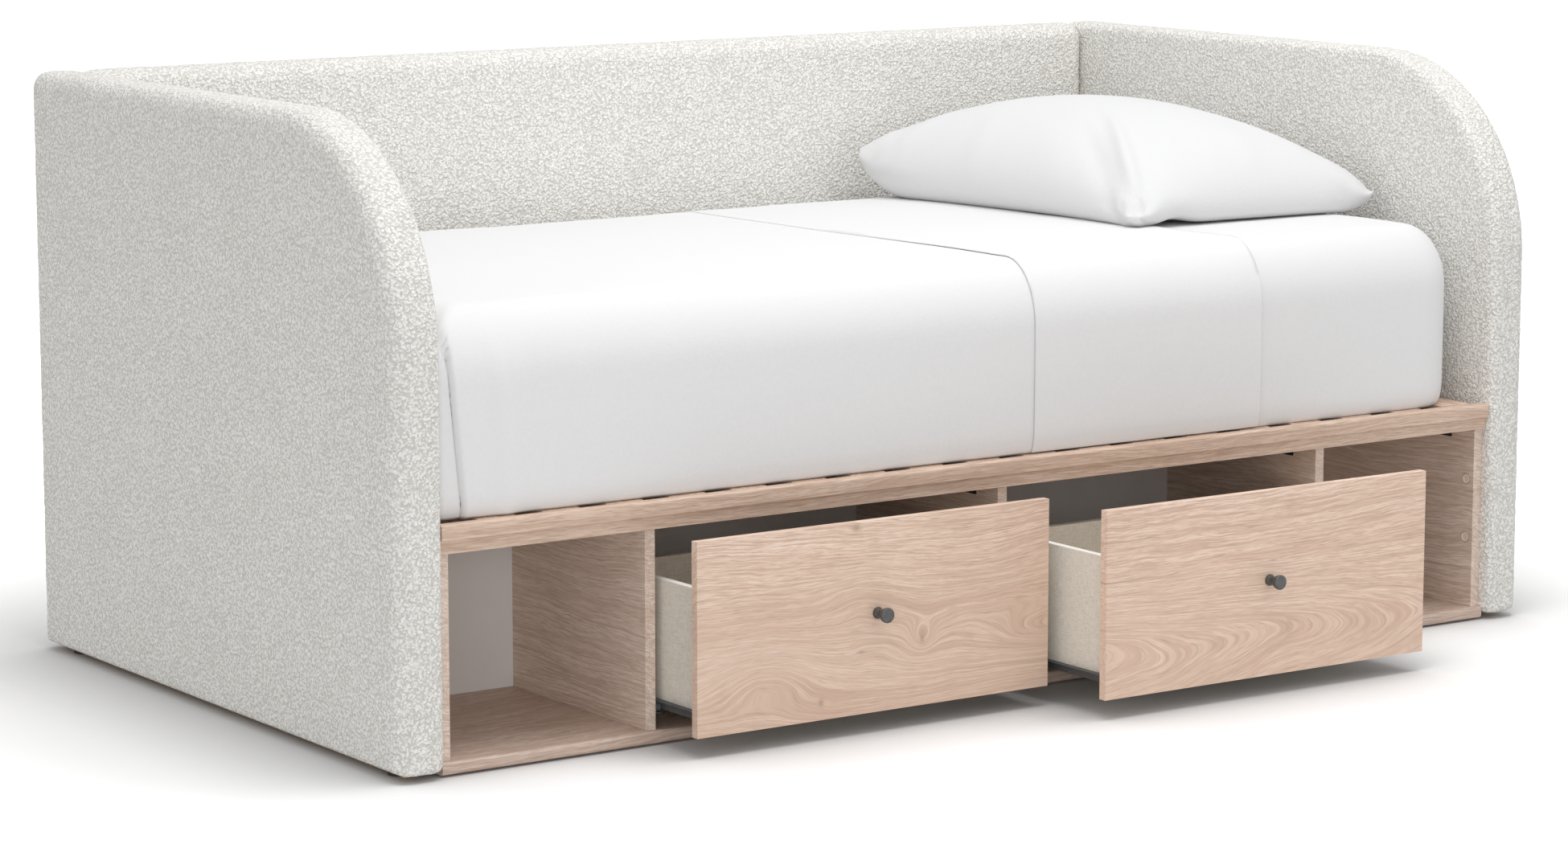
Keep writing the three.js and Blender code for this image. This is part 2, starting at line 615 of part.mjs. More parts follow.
// Mattress form, grown outward by an allowance: rounded plan, drawn-in foot, soft top edge and crown
const mattress = {
  left: -insideFace + MATTRESS_FOOT_GAP,
  right: insideFace - MATTRESS_HEAD_GAP,
  front: MATTRESS_FRONT_SETBACK,
  rear: backPanelFront - MATTRESS_REAR_GAP,
  low: railTop + FIT_GAP,
};
mattress.edgeTop = mattress.low + MATTRESS_HEIGHT - MATTRESS_CROWN;
mattress.top = mattress.low + MATTRESS_HEIGHT;

function ringAt(inset, height, grow) {
  const radius = Math.max(MATTRESS_CORNER_RADIUS + grow - inset, FIT_GAP);
  const steps = Array(4).fill(2 * EDGE_STEPS);
  const radii = Array(4).fill(radius);
  const left = mattress.left - grow + inset;
  const right = mattress.right + grow - inset;
  const front = mattress.front - grow + inset;
  const rear = mattress.rear + grow - inset;
  const outline = roundedOutline(left, front, right, rear, radii, steps);
  return outline.map((point) => new THREE.Vector3(point.x, point.y, height));
}

function mattressGeometry(grow) {
  const rings = [];
  const lowRadius = MATTRESS_BOTTOM_RADIUS + grow;
  const low = mattress.low - grow;
  for (let step = 0; step <= EDGE_STEPS; step += 1) {
    const angle = (step / EDGE_STEPS) * 0.5 * Math.PI;
    const inset = MATTRESS_DRAW_IN + lowRadius * (1 - Math.sin(angle));
    rings.push(ringAt(inset, low + lowRadius * (1 - Math.cos(angle)), grow));
  }
  const topRadius = MATTRESS_TOP_RADIUS + grow;
  const edgeTop = mattress.edgeTop + grow;
  const topSteps = EDGE_STEPS * 2;
  for (let step = 0; step <= topSteps; step += 1) {
    const angle = (step / topSteps) * 0.5 * Math.PI;
    rings.push(ringAt(topRadius * (1 - Math.cos(angle)), edgeTop - topRadius * (1 - Math.sin(angle)), grow));
  }
  const edgeRing = rings[rings.length - 1];
  const middleX = (mattress.left + mattress.right) / 2;
  const middleY = (mattress.front + mattress.rear) / 2;
  const centre = new THREE.Vector3(middleX, middleY, edgeTop);
  for (let step = 1; step < CROWN_STEPS; step += 1) {
    const share = 1 - step / CROWN_STEPS;
    const rise = MATTRESS_CROWN * (1 - share ** 2);
    rings.push(edgeRing.map((p) => new THREE.Vector3().lerpVectors(centre, p, share).setZ(edgeTop + rise)));
  }
  const bottomCentre = centre.clone().setZ(low);
  const topCentre = centre.clone().setZ(edgeTop + MATTRESS_CROWN);
  return ringsGeometry(rings, bottomCentre, topCentre);
}

// Closes a stack of rings with a fan at each end
function ringsGeometry(rings, bottomCentre, topCentre) {
  const count = rings[0].length;
  const points = [...rings.flat(), bottomCentre, topCentre];
  const bottomIndex = rings.length * count;
  const topIndex = bottomIndex + 1;
  const triangles = [];
  for (let i = 0; i < count; i += 1) {
    const next = (i + 1) % count;
    triangles.push(bottomIndex, next, i);
    for (let ring = 0; ring + 1 < rings.length; ring += 1) {
      const a = ring * count + i;
      const b = ring * count + next;
      triangles.push(a, b, b + count, a, b + count, a + count);
    }
    const last = (rings.length - 1) * count;
    triangles.push(topIndex, last + i, last + next);
  }
  const geometry = new THREE.BufferGeometry().setFromPoints(points);
  geometry.setIndex(triangles);
  geometry.computeVertexNormals();
  return geometry;
}

// Sheet over the foot of the mattress, folded back on itself in a band at its head end
const foldX = mattress.right - FOLD_FROM_HEAD;
const hemX = foldX - FOLD_BAND;

function sheetLayer(outerGrow, startX) {
  const shell = toSolid(mattressGeometry(outerGrow)).subtract(toSolid(mattressGeometry(FIT_GAP)));
  const reach = OVERALL_WIDTH;
  const keep = boxBetween([startX, -reach, mattress.low + SHEET_HANG_GAP], [foldX, reach, reach]);
  return shell.intersect(toSolid(keep));
}

function sheetGeometry() {
  const single = sheetLayer(FIT_GAP + SHEET_THICKNESS, -OVERALL_WIDTH);
  const band = sheetLayer(FIT_GAP + 2 * SHEET_THICKNESS, hemX);
  return toGeometry(single.add(band));
}

// Pillow corners as shares of half its width, half its length and its loft
const pillowCornerShares = [
  [-0.69, -0.83, 0.05],
  [0.88, -1.14, 0.26],
  [0.9, 0.89, 0.32],
  [-1.09, 1.08, 0.4],
];
const pillowDrawInShare = 0.07;
const pillowTopFullness = 0.5;
const pillowFloorFullness = 0.35;

// Puffed form over a square of u and v from -1 to 1, thin along its seam and full in the middle
function pillowGeometry() {
  const centreX = insideFace - PILLOW_FROM_HEAD_PANEL;
  const centreY = backPanelFront - PILLOW_FROM_BACK_PANEL;
  const bed = mattress.edgeTop;
  const corners = pillowCornerShares.map(([x, y, z]) => new THREE.Vector3(
    centreX + (x * PILLOW_WIDTH) / 2,
    centreY + (y * PILLOW_LENGTH) / 2,
    bed + z * PILLOW_LOFT,
  ));
  const count = PILLOW_STEPS + 1;
  const points = [];
  const surface = (u, v, upper) => {
    const drawnU = u * (1 - pillowDrawInShare * (1 - v * v) * u * u);
    const drawnV = v * (1 - pillowDrawInShare * (1 - u * u) * v * v);
    const a = (1 - drawnU) / 2;
    const b = (1 - drawnV) / 2;
    const front = new THREE.Vector3().lerpVectors(corners[1], corners[0], a);
    const rear = new THREE.Vector3().lerpVectors(corners[2], corners[3], a);
    const mid = new THREE.Vector3().lerpVectors(rear, front, b);
    const fill = (1 - u * u) * (1 - v * v);
    const rim = PILLOW_SEAM_THICKNESS / 2;
    if (upper) {
      mid.z += rim + fill ** pillowTopFullness * (bed + PILLOW_LOFT - mid.z);
    } else {
      const floor = bed - PILLOW_SEAM_THICKNESS;
      mid.z += fill ** pillowFloorFullness * (floor - mid.z) - rim;
    }
    return mid;
  };
  [true, false].forEach((upper) => {
    for (let row = 0; row < count; row += 1) {
      for (let column = 0; column < count; column += 1) {
        const u = Math.sin(((column / PILLOW_STEPS) * 2 - 1) * 0.5 * Math.PI);
        const v = Math.sin(((row / PILLOW_STEPS) * 2 - 1) * 0.5 * Math.PI);
        points.push(surface(u, v, upper));
      }
    }
  });
  const lower = count * count;
  const triangles = [];
  for (let row = 0; row < PILLOW_STEPS; row += 1) {
    for (let column = 0; column < PILLOW_STEPS; column += 1) {
      const a = row * count + column;
      const b = a + 1;
      const c = b + count;
      const d = a + count;
      triangles.push(a, b, c, a, c, d);
      triangles.push(lower + a, lower + c, lower + b, lower + a, lower + d, lower + c);
    }
  }
  for (let i = 0; i < PILLOW_STEPS; i += 1) {
    const far = PILLOW_STEPS * count;
    const rightEdge = i * count + PILLOW_STEPS;
    const edges = [
      [i + 1, i],
      [far + i, far + i + 1],
      [i * count, (i + 1) * count],
      [rightEdge + count, rightEdge],
    ];
    edges.forEach(([start, end]) => {
      triangles.push(start, end, lower + end, start, lower + end, lower + start);
    });
  }
  const geometry = new THREE.BufferGeometry().setFromPoints(points);
  geometry.setIndex(triangles);
  return geometry;
}

function restingPillow() {
  const reach = OVERALL_WIDTH;
  const bed = toSolid(mattressGeometry(FIT_GAP));
  const sheetSide = toSolid(boxBetween([-reach, -reach, 0], [foldX + FIT_GAP, reach, reach]));
  const sheeted = toSolid(mattressGeometry(2 * FIT_GAP + 2 * SHEET_THICKNESS)).intersect(sheetSide);
  return toGeometry(toSolid(pillowGeometry()).subtract(bed).subtract(sheeted));
}

function addBedding(parent) {
  piece(parent, 'mattress', mattressGeometry(0), 'cotton');
  piece(parent, 'top_sheet', sheetGeometry(), 'cotton');
  piece(parent, 'pillow', restingPillow(), 'cotton');
}

// The whole daybed, moved so that its box is centred on the origin from front to back
const frontReach = RIGHT_DRAWER_OPEN - closedFace + KNOB_LENGTH;
const daybed = new THREE.Group();
daybed.position.y = -(PANEL_DEPTH - frontReach) / 2;
addSidePanel(daybed, -1, 'left');
addSidePanel(daybed, 1, 'right');
addBackPanel(daybed);
addCabinet(daybed);
addSlatBase(daybed);
addCabinetRunners(daybed, -1, 'left');
addCabinetRunners(daybed, 1, 'right');
addDrawer(daybed, -1, 'drawer_left', LEFT_DRAWER_OPEN);
addDrawer(daybed, 1, 'drawer_right', RIGHT_DRAWER_OPEN);
addBedding(daybed);

export default daybed;
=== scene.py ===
# Storage daybed: upholstery, bedding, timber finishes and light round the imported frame.
# Lengths are in metres in the frame's own axes: +X towards the head end, -Y to the front, +Z up.

import math

import bmesh
import bpy
import numpy as np
from mathutils import Matrix, Vector, noise


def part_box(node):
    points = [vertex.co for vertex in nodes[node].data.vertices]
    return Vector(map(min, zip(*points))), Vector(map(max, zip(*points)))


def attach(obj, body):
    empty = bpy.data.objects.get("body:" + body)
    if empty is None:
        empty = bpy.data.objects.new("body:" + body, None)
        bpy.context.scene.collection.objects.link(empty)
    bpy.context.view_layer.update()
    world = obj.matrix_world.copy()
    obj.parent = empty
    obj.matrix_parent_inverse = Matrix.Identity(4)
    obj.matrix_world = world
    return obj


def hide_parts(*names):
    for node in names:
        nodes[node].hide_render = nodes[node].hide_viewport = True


MM = 0.001

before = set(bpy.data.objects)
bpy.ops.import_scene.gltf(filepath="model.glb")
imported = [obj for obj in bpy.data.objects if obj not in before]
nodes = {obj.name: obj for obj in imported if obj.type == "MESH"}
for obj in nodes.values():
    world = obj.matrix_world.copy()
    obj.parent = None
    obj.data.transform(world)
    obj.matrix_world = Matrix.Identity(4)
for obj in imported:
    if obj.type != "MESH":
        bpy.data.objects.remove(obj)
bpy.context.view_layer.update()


# Camera at the photograph's angle

CAMERA_PLACE = (-3.9845, -5.6341, 1.4433)
CAMERA_YAW = -34.5375
CAMERA_PITCH = 8.9678
CAMERA_FOCAL_PX = 5571.7
PHOTO_WIDTH_PX = 1950
SENSOR_MM = 36.0
CAMERA_REACH = 200


def make_camera():
    data = bpy.data.cameras.new("camera")
    data.sensor_width = SENSOR_MM
    data.lens = CAMERA_FOCAL_PX * SENSOR_MM / PHOTO_WIDTH_PX
    data.clip_end = CAMERA_REACH
    camera = bpy.data.objects.new("camera", data)
    camera.location = CAMERA_PLACE
    tilt = math.radians(90 - CAMERA_PITCH)
    camera.rotation_euler = (tilt, 0, math.radians(CAMERA_YAW))
    bpy.context.scene.collection.objects.link(camera)
    bpy.context.scene.camera = camera


make_camera()


# Places read from the frame

left_cover_low, left_cover_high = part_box("left_panel_cover")
right_cover_low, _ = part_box("right_panel_cover")
back_cover_low, back_cover_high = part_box("back_panel_cover")
mattress_low, mattress_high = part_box("mattress")
strip_low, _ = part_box("front_top_strip")
FRONT_Y = left_cover_low.y
REAR_Y = left_cover_high.y
TOP_Z = left_cover_high.z
FOOT_Z = left_cover_low.z


# Shader building

SHEEN_ROUGHNESS = 0.6


def set_input(tree, socket, value):
    if isinstance(value, bpy.types.NodeSocket):
        tree.links.new(value, socket)
    elif socket.type == "RGBA":
        socket.default_value = (*value, 1)
    else:
        socket.default_value = value


def add_node(tree, kind, inputs=(), **settings):
    made = tree.nodes.new(kind)
    for key, value in settings.items():
        setattr(made, key, value)
    for key, value in dict(inputs).items():
        set_input(tree, made.inputs[key], value)
    return made


def empty_tree(block):
    block.use_nodes = True
    block.node_tree.nodes.clear()
    return block.node_tree


class Shader:
    """A material with one Principled shader, and short calls for the nodes that feed it."""

    def __init__(self, name, roughness=0.6, metallic=0.0, sheen=0.0, specular=0.5):
        self.material = bpy.data.materials.new(name)
        self.tree = empty_tree(self.material)
        settings = {"Roughness": roughness, "Metallic": metallic, "Sheen Weight": sheen,
                    "Sheen Roughness": SHEEN_ROUGHNESS, "Specular IOR Level": specular}
        self.surface = self.node("ShaderNodeBsdfPrincipled", settings)
        self.node("ShaderNodeOutputMaterial", {"Surface": self.surface.outputs[0]})
        self.place = self.node("ShaderNodeTexCoord").outputs["Object"]

    def node(self, kind, inputs=(), **settings):
        return add_node(self.tree, kind, inputs, **settings)

    def math(self, operation, first, second=0.0, third=0.0):
        made = self.node("ShaderNodeMath", {0: first, 1: second, 2: third}, operation=operation)
        return made.outputs[0]

    def stretched(self, scales, offset=(0, 0, 0)):
        """The place in the object, with each axis scaled on its own and then moved."""
        inputs = {"Vector": self.place, "Scale": scales, "Location": offset}
        return self.node("ShaderNodeMapping", inputs).outputs[0]

    def noise(self, vector, scale=1.0, detail=2.0, roughness=0.5, distortion=0.0):
        inputs = {"Vector": vector, "Scale": scale, "Detail": detail, "Roughness": roughness,
                  "Distortion": distortion}
        return self.node("ShaderNodeTexNoise", inputs).outputs["Fac"]

    def ramp(self, factor, stops):
        made = self.node("ShaderNodeValToRGB", {"Fac": factor})
        band = made.color_ramp
        while len(band.elements) < len(stops):
            band.elements.new(0.5)
        for element, (position, colour) in zip(band.elements, stops):
            element.position = position
            element.color = (*colour, 1) if isinstance(colour, tuple) else (colour, colour, colour, 1)
        return made.outputs["Color"]

    def mix(self, factor, first, second, kind="MIX"):
        made = self.node("ShaderNodeMix", data_type="RGBA", blend_type=kind)
        for index, value in ((0, factor), (6, first), (7, second)):
            set_input(self.tree, made.inputs[index], value)
        return made.outputs[2]

    def times(self, first, *others):
        for other in others:
            first = self.math("MULTIPLY", first, other)
        return first

    def tinted(self, colour, tint):
        return self.mix(1.0, colour, tint, kind="MULTIPLY")

    def bump(self, height, distance, strength=1.0, under=None):
        inputs = {"Height": height, "Distance": distance, "Strength": strength}
        if under is not None:
            inputs["Normal"] = under
        return self.node("ShaderNodeBump", inputs).outputs[0]

    def finish(self, colour, normal, roughness=None):
        self.tree.links.new(colour, self.surface.inputs["Base Color"])
        self.tree.links.new(normal, self.surface.inputs["Normal"])
        if roughness is not None:
            self.tree.links.new(roughness, self.surface.inputs["Roughness"])
        return self.material


# Looped yarn: its swirls, loops and strands
SWIRLS_PER_M = 150.0
SWIRL_REACH = 7 * MM
LOOPS_PER_M = 230.0
STRANDS_PER_M = 420.0
LOOP_RELIEF = 2.8 * MM
# The cleft tone is painted shade for the hollows between the loops
CLEFT_SHADE_TONE = (0.715, 0.695, 0.65)
LOOP_TONE = (0.985, 0.969, 0.934)


def boucle_material():
    """Ivory looped yarn: small swirled domes, with painted shade making the clefts between them slightly
    darker.
    """
    shade = Shader("boucle", roughness=0.97, sheen=0.1, specular=0.12)

    def vector(operation, inputs):
        return shade.node("ShaderNodeVectorMath", inputs, operation=operation).outputs[0]

    curl = shade.node("ShaderNodeTexNoise", {"Vector": shade.place, "Scale": SWIRLS_PER_M})
    swirl = vector("SUBTRACT", {0: curl.outputs["Color"], 1: (0.5, 0.5, 0.5)})
    moved = vector("ADD", {0: shade.place, 1: vector("SCALE", {0: swirl, "Scale": SWIRL_REACH})})
    inputs = {"Vector": moved, "Scale": LOOPS_PER_M, "Smoothness": 0.3}
    loops = shade.node("ShaderNodeTexVoronoi", inputs, feature="SMOOTH_F1")
    yarn = shade.noise(moved, scale=STRANDS_PER_M, roughness=0.6)
    dome = shade.math("SUBTRACT", 1.0, loops.outputs["Distance"])
    height = shade.math("MULTIPLY_ADD", yarn, 0.5, dome)
    # Lower heights take the cleft tone: painted shade in the hollows between the domes
    yarn_with_cleft_shade = shade.ramp(height, [(0.62, CLEFT_SHADE_TONE), (0.88, LOOP_TONE)])
    tone = shade.ramp(shade.noise(shade.place, scale=14.0, detail=3.0), [(0.3, 0.97), (0.7, 1.0)])
    return shade.finish(shade.tinted(yarn_with_cleft_shade, tone), shade.bump(height, LOOP_RELIEF))


LIGHT_OAK = (0.905, 0.712, 0.585)
MIDDLE_OAK = (0.79, 0.592, 0.468)
RING_OAK = (0.62, 0.435, 0.33)
PORE_OAK = (0.45, 0.31, 0.23)
# Wander, ripple and lean of the grain, and how its arches end above their axis
OAK_WARP = 0.10
OAK_RIPPLE = 0.011
OAK_TILT = 0.35
ARCH_ROUND = 0.022
ARCH_FULL, ARCH_NONE = 0.02, 0.11
# Layers: scales along the grain, over the field and across, then detail and roughness
OAK_BANDS = (0.9, 62.0, 9.0, 2.0, 0.55)
OAK_RINGS = (1.1, 118.0, 14.0, 1.0, 0.5)
OAK_FIBRE = (9.0, 330.0, 90.0, 3.0, 0.72)
OAK_BRUSH = (42.0, 560.0, 220.0, 2.0, 0.7)
OAK_PORES = (30.0, 640.0, 300.0, 1.0, 0.5)
STREAK_WIDTH = 1.4 * MM
MARK_STRENGTH = 0.8
OAK_RELIEF = 0.4 * MM


def oak_material(name, along, offset, swirls=(), marks=(), streaks=(), crowd=None,
                 warp=OAK_WARP, arches=None, rings=0.52, tint=(1.0, 1.0, 1.0)):
    """Pale oak laminate. Broad bands, growth lines, fibres and pores all follow the level lines of one field.

    Each swirl (x, z, wide, high, rise) bends the lines round a place, each mark (x, z, wide, high) is a
    small knot, and each streak (z, strength) a long dark line. Below the height crowd the wood is less
    brushed and a little darker. Arches (z, x, pull) lie along a height and point towards an end. Rings is
    the strength of the growth lines.
    """
    shade = Shader(name, roughness=0.5, specular=0.32)
    parts = shade.node("ShaderNodeSeparateXYZ", {0: shade.place}).outputs
    length, across, up = parts[along], parts[1 - along], parts[2]

    def spread(place, middle, reach):
        """Square of the distance from the middle, in reaches."""
        share = shade.math("DIVIDE", shade.math("SUBTRACT", place, middle), reach)
        return shade.times(share, share)

    def fall(far):
        return shade.math("EXPONENT", shade.times(far, -1.0))

    def hill(x, z, wide, high):
        return fall(shade.math("ADD", spread(length, x, wide), spread(up, z, high)))

    def grain(length_scale, cross_scale):
        scales = [cross_scale] * 3
        scales[along] = length_scale
        return shade.stretched(tuple(scales), offset)

    def along_lines(length_scale, field_scale, across_scale, detail, roughness):
        """Noise that runs on along the level lines of the field."""
        scaled = ((length, length_scale), (field, field_scale), (across, across_scale))
        inputs = {index: shade.times(*pair) for index, pair in enumerate(scaled)}
        made = shade.node("ShaderNodeCombineXYZ", inputs)
        return shade.noise(made.outputs[0], detail=detail, roughness=roughness)

    wander = shade.noise(grain(1.5, 4.5), detail=1.5, roughness=0.45, distortion=0.2)
    ripple = shade.noise(grain(11.0, 16.0))
    field = shade.math("MULTIPLY_ADD", shade.math("SUBTRACT", wander, 0.5), warp, up)
    field = shade.math("MULTIPLY_ADD", shade.math("SUBTRACT", ripple, 0.5), OAK_RIPPLE, field)
    for x, z, wide, high, rise in swirls:
        field = shade.math("MULTIPLY_ADD", hill(x, z, wide, high), rise, field)
    level = field
    if arches is not None:
        axis, end, pull = arches
        beside = shade.math("SUBTRACT", field, axis)
        rounded = shade.math("SQRT", shade.math("MULTIPLY_ADD", beside, beside, ARCH_ROUND ** 2))
        share = shade.ramp(up, [(axis + ARCH_FULL, pull), (axis + ARCH_NONE, 0.0)])
        field = shade.math("MULTIPLY_ADD", shade.math("SUBTRACT", length, end), share, rounded)
    field = shade.math("MULTIPLY_ADD", across, OAK_TILT, field)
    fibre = along_lines(*OAK_FIBRE)
    pores = shade.ramp(along_lines(*OAK_PORES), [(0.58, 0.0), (0.70, 1.0)])
    colour = shade.ramp(along_lines(*OAK_BANDS), [(0.30, MIDDLE_OAK), (0.66, LIGHT_OAK)])
    ring = shade.ramp(along_lines(*OAK_RINGS), [(0.40, 0.0), (0.475, 0.75), (0.50, 0.9), (0.53, 0.0)])
    strong = shade.ramp(shade.noise(grain(1.6, 9.0), detail=1.0), [(0.38, 0.15), (0.62, 1.0)])
    colour = shade.mix(shade.times(ring, strong, rings), colour, RING_OAK)
    brushed = 1.0
    if crowd is not None:
        low, high = crowd - 0.05, crowd + 0.04
        brushed = shade.ramp(up, [(low, 0.72), (high, 1.0)])
        colour = shade.tinted(colour, shade.ramp(up, [(low, (0.915, 0.90, 0.89)), (high, (1.0, 1.0, 1.0))]))
    fibre_share = shade.times(shade.ramp(fibre, [(0.40, 0.82), (0.54, 0.0)]), brushed)
    colour = shade.mix(fibre_share, colour, RING_OAK)
    brush_share = shade.times(shade.ramp(along_lines(*OAK_BRUSH), [(0.34, 0.60), (0.54, 0.0)]), brushed)
    colour = shade.mix(brush_share, colour, RING_OAK)
    colour = shade.mix(shade.times(pores, brushed, 0.5), colour, PORE_OAK)
    for x, z, wide, high in marks:
        colour = shade.mix(shade.times(hill(x, z, wide, high), MARK_STRENGTH), colour, PORE_OAK)
    for z, strength in streaks:
        line = fall(spread(level, z, STREAK_WIDTH))
        broken = shade.ramp(shade.noise(grain(6.0, 3.0)), [(0.42, 0.0), (0.6, 1.0)])
        colour = shade.mix(shade.times(line, broken, strength), colour, PORE_OAK)
    depth = shade.math("SUBTRACT", shade.times(fibre, 0.4), shade.times(pores, 0.5))
    rough = shade.math("MULTIPLY_ADD", fibre, 0.16, 0.42)
    return shade.finish(shade.tinted(colour, tint), shade.bump(depth, OAK_RELIEF, 0.6), rough)


def timber_material():
    """Plain planed softwood for the parts that the mattress and the covers hide."""
    shade = Shader("softwood", roughness=0.7)
    swell = shade.noise(shade.stretched((3.0, 2.0, 9.0)), distortion=0.4)
    growth = shade.math("FRACT", shade.times(swell, 16.0))
    early, late, turn = (0.70, 0.52, 0.35), (0.62, 0.43, 0.26), (0.68, 0.50, 0.33)
    grain = shade.ramp(growth, [(0.0, early), (0.8, late), (1.0, turn)])
    fibre = shade.noise(shade.stretched((160.0, 12.0, 160.0)), detail=3.0)
    colour = shade.mix(shade.ramp(fibre, [(0.4, 0.25), (0.65, 0.0)]), grain, (0.45, 0.3, 0.18))
    return shade.finish(colour, shade.bump(fibre, 0.0003, 0.5))


def backing_material():
    shade = Shader("backing_board", roughness=0.62)
    mottle = shade.noise(shade.place, scale=9.0, detail=3.0)
    colour = shade.ramp(mottle, [(0.3, (0.80, 0.785, 0.775)), (0.7, (0.84, 0.83, 0.82))])
    peel = shade.noise(shade.place, scale=700.0, detail=1.0)
    return shade.finish(colour, shade.bump(peel, 0.0002, 0.4))


def linen_material():
    """Linen-look laminate: short threads both ways on every face, and a pale band on the top edges."""
    shade = Shader("drawer_linen", roughness=0.68, specular=0.3)
    threads = [shade.noise(shade.stretched(s), roughness=0.6)
               for s in ((70.0, 900.0, 900.0), (900.0, 70.0, 900.0), (900.0, 900.0, 70.0))]
    cross = shade.math("ADD", shade.math("ADD", threads[0], threads[1]), threads[2])
    weave = shade.times(cross, 1 / 3)
    tones = (0.60, 0.555, 0.475), (0.765, 0.725, 0.645), (0.85, 0.82, 0.755)
    cloth = shade.ramp(weave, list(zip((0.38, 0.5, 0.62), tones)))
    up = shade.node("ShaderNodeSeparateXYZ", {0: shade.node("ShaderNodeNewGeometry").outputs["Normal"]})
    edge = shade.ramp(up.outputs["Z"], [(0.90, 0.0), (0.97, 1.0)])
    height = shade.node("ShaderNodeSeparateXYZ", {0: shade.place}).outputs["Z"]
    high = shade.ramp(height, [(0.19, 0.0), (0.2, 1.0)])
    colour = shade.mix(shade.tinted(edge, high), cloth, (0.87, 0.855, 0.81))
    return shade.finish(colour, shade.bump(weave, 0.0004, 0.6))


def metal_material(name, colour, roughness, metallic):
    shade = Shader(name, roughness=roughness, metallic=metallic)
    worn = shade.noise(shade.place, scale=160.0, detail=3.0)
    light = tuple(min(1.0, c * 1.35) for c in colour)
    tone = shade.ramp(worn, [(0.35, colour), (0.7, light)])
    rough = shade.math("MULTIPLY_ADD", worn, 0.18, roughness - 0.09)
    return shade.finish(tone, shade.bump(worn, 0.0001, 0.3), rough)


def plastic_material(name, colour, roughness):
    shade = Shader(name, roughness=roughness)
    grain = shade.noise(shade.place, scale=1400.0, detail=1.0)
    lighter = tuple(min(1.0, c * 1.12 + 0.004) for c in colour)
    tone = shade.ramp(grain, [(0.3, colour), (0.7, lighter)])
    return shade.finish(tone, shade.bump(grain, 0.0001, 0.5))


THREADS_PER_M = 1500.0
THREAD_RUN = 0.12


def cotton_material(name, tone):
    """White percale: a fine plain weave with soft, shallow creases."""
    shade = Shader(name, roughness=0.88, sheen=0.12, specular=0.2)
    thin, long = THREADS_PER_M, THREADS_PER_M * THREAD_RUN
    warp = shade.noise(shade.stretched((thin, long, thin)), detail=1.0)
    weft = shade.noise(shade.stretched((long, thin, long)), detail=1.0)
    weave = shade.math("ADD", warp, weft)
    crease = shade.noise(shade.stretched((5.0, 8.0, 3.0)), detail=4.0, distortion=0.6)
    darker = tuple(c * 0.975 for c in tone)
    colour = shade.ramp(shade.times(weave, 0.5), [(0.38, darker), (0.6, tone)])
    fine = shade.bump(weave, 0.00025, 0.5)
    return shade.finish(colour, shade.bump(crease, 0.006, 0.22, under=fine))


# Swirls of the drawer fronts: x and height, half width and half height, and rise
LEFT_FRONT_SWIRLS = (
    (-0.232, 0.129, 0.022, 0.021, 0.028),
    (-0.232, 0.129, 0.065, 0.045, 0.018),
    (-0.505, 0.098, 0.085, 0.042, -0.044),
    (0.000, 0.116, 0.130, 0.036, 0.056),
    (-0.330, 0.205, 0.070, 0.050, -0.016),
    (-0.310, 0.118, 0.040, 0.022, -0.014),
)
RIGHT_FRONT_SWIRLS = (
    (0.120, 0.070, 0.060, 0.050, 0.010),
    (0.330, 0.060, 0.070, 0.050, -0.010),
    (0.540, 0.080, 0.050, 0.045, 0.010),
)

BOUCLE = boucle_material()
OAK_LONG = oak_material("oak_long", 0, (3.1, 0.4, 1.7), warp=0.07, tint=(0.86, 0.855, 0.845))
OAK_BASE = oak_material("oak_base", 0, (4.6, 1.4, 0.2), tint=(0.80, 0.83, 0.87))
OAK_DEEP = oak_material("oak_deep", 1, (1.3, 2.2, 0.6), streaks=((0.205, 0.6), (0.080, 0.5)),
                        tint=(0.95, 1.03, 1.10))
OAK_FRONT_LEFT = oak_material(
    "oak_front_left", 0, (0.62, 0.0, 0.35), swirls=LEFT_FRONT_SWIRLS, crowd=0.200, rings=0.80,
    marks=((-0.349, 0.303, 0.007, 0.006), (-0.410, 0.056, 0.005, 0.006), (-0.232, 0.129, 0.004, 0.007),
           (-0.340, 0.121, 0.008, 0.0025)), tint=(1.01, 1.015, 1.015))
OAK_FRONT_RIGHT = oak_material(
    "oak_front_right", 0, (5.4, 2.0, 4.1), swirls=RIGHT_FRONT_SWIRLS, crowd=0.130, rings=0.60, warp=0.045,
    arches=(0.095, 0.640, 0.20), streaks=((0.213, 0.75), (0.272, 0.5), (0.136, 0.4)),
    tint=(1.035, 1.03, 1.03))
OAK_SLAT = oak_material("oak_slat", 1, (7.2, 1.1, 3.3))
TIMBER = timber_material()
BACKING = backing_material()
LINEN = linen_material()
RUNNER = metal_material("runner_steel", (0.085, 0.09, 0.095), 0.5, 0.4)
GUNMETAL = metal_material("knob_gunmetal", (0.088, 0.09, 0.089), 0.45, 0.6)
BLACK_STEEL = metal_material("bracket_steel", (0.02, 0.021, 0.023), 0.5, 0.4)
NYLON = plastic_material("roller_nylon", (0.10, 0.10, 0.105), 0.45)
GLIDE = plastic_material("glide_plastic", (0.025, 0.025, 0.027), 0.6)
CAP = plastic_material("cam_cap", (0.78, 0.64, 0.53), 0.5)
# The dark ring round each cam cover is painted shade for the gap round the cover
CAP_GAP_SHADE = plastic_material("cam_cap_gap_shade", (0.30, 0.21, 0.155), 0.6)
MATTRESS_COTTON = cotton_material("mattress_cotton", (0.805, 0.805, 0.81))
SHEET_COTTON = cotton_material("sheet_cotton", (0.81, 0.81, 0.816))
PILLOW_COTTON = cotton_material("pillow_cotton", (0.735, 0.736, 0.742))


# Frame nodes that stay: each gets its finish, and the boards a fine worn arris

BOARD_ARRIS = 0.7 * MM
FINE_ARRIS = 0.4 * MM
ARRIS_ANGLE = 40
EDGE_ANGLE = 30


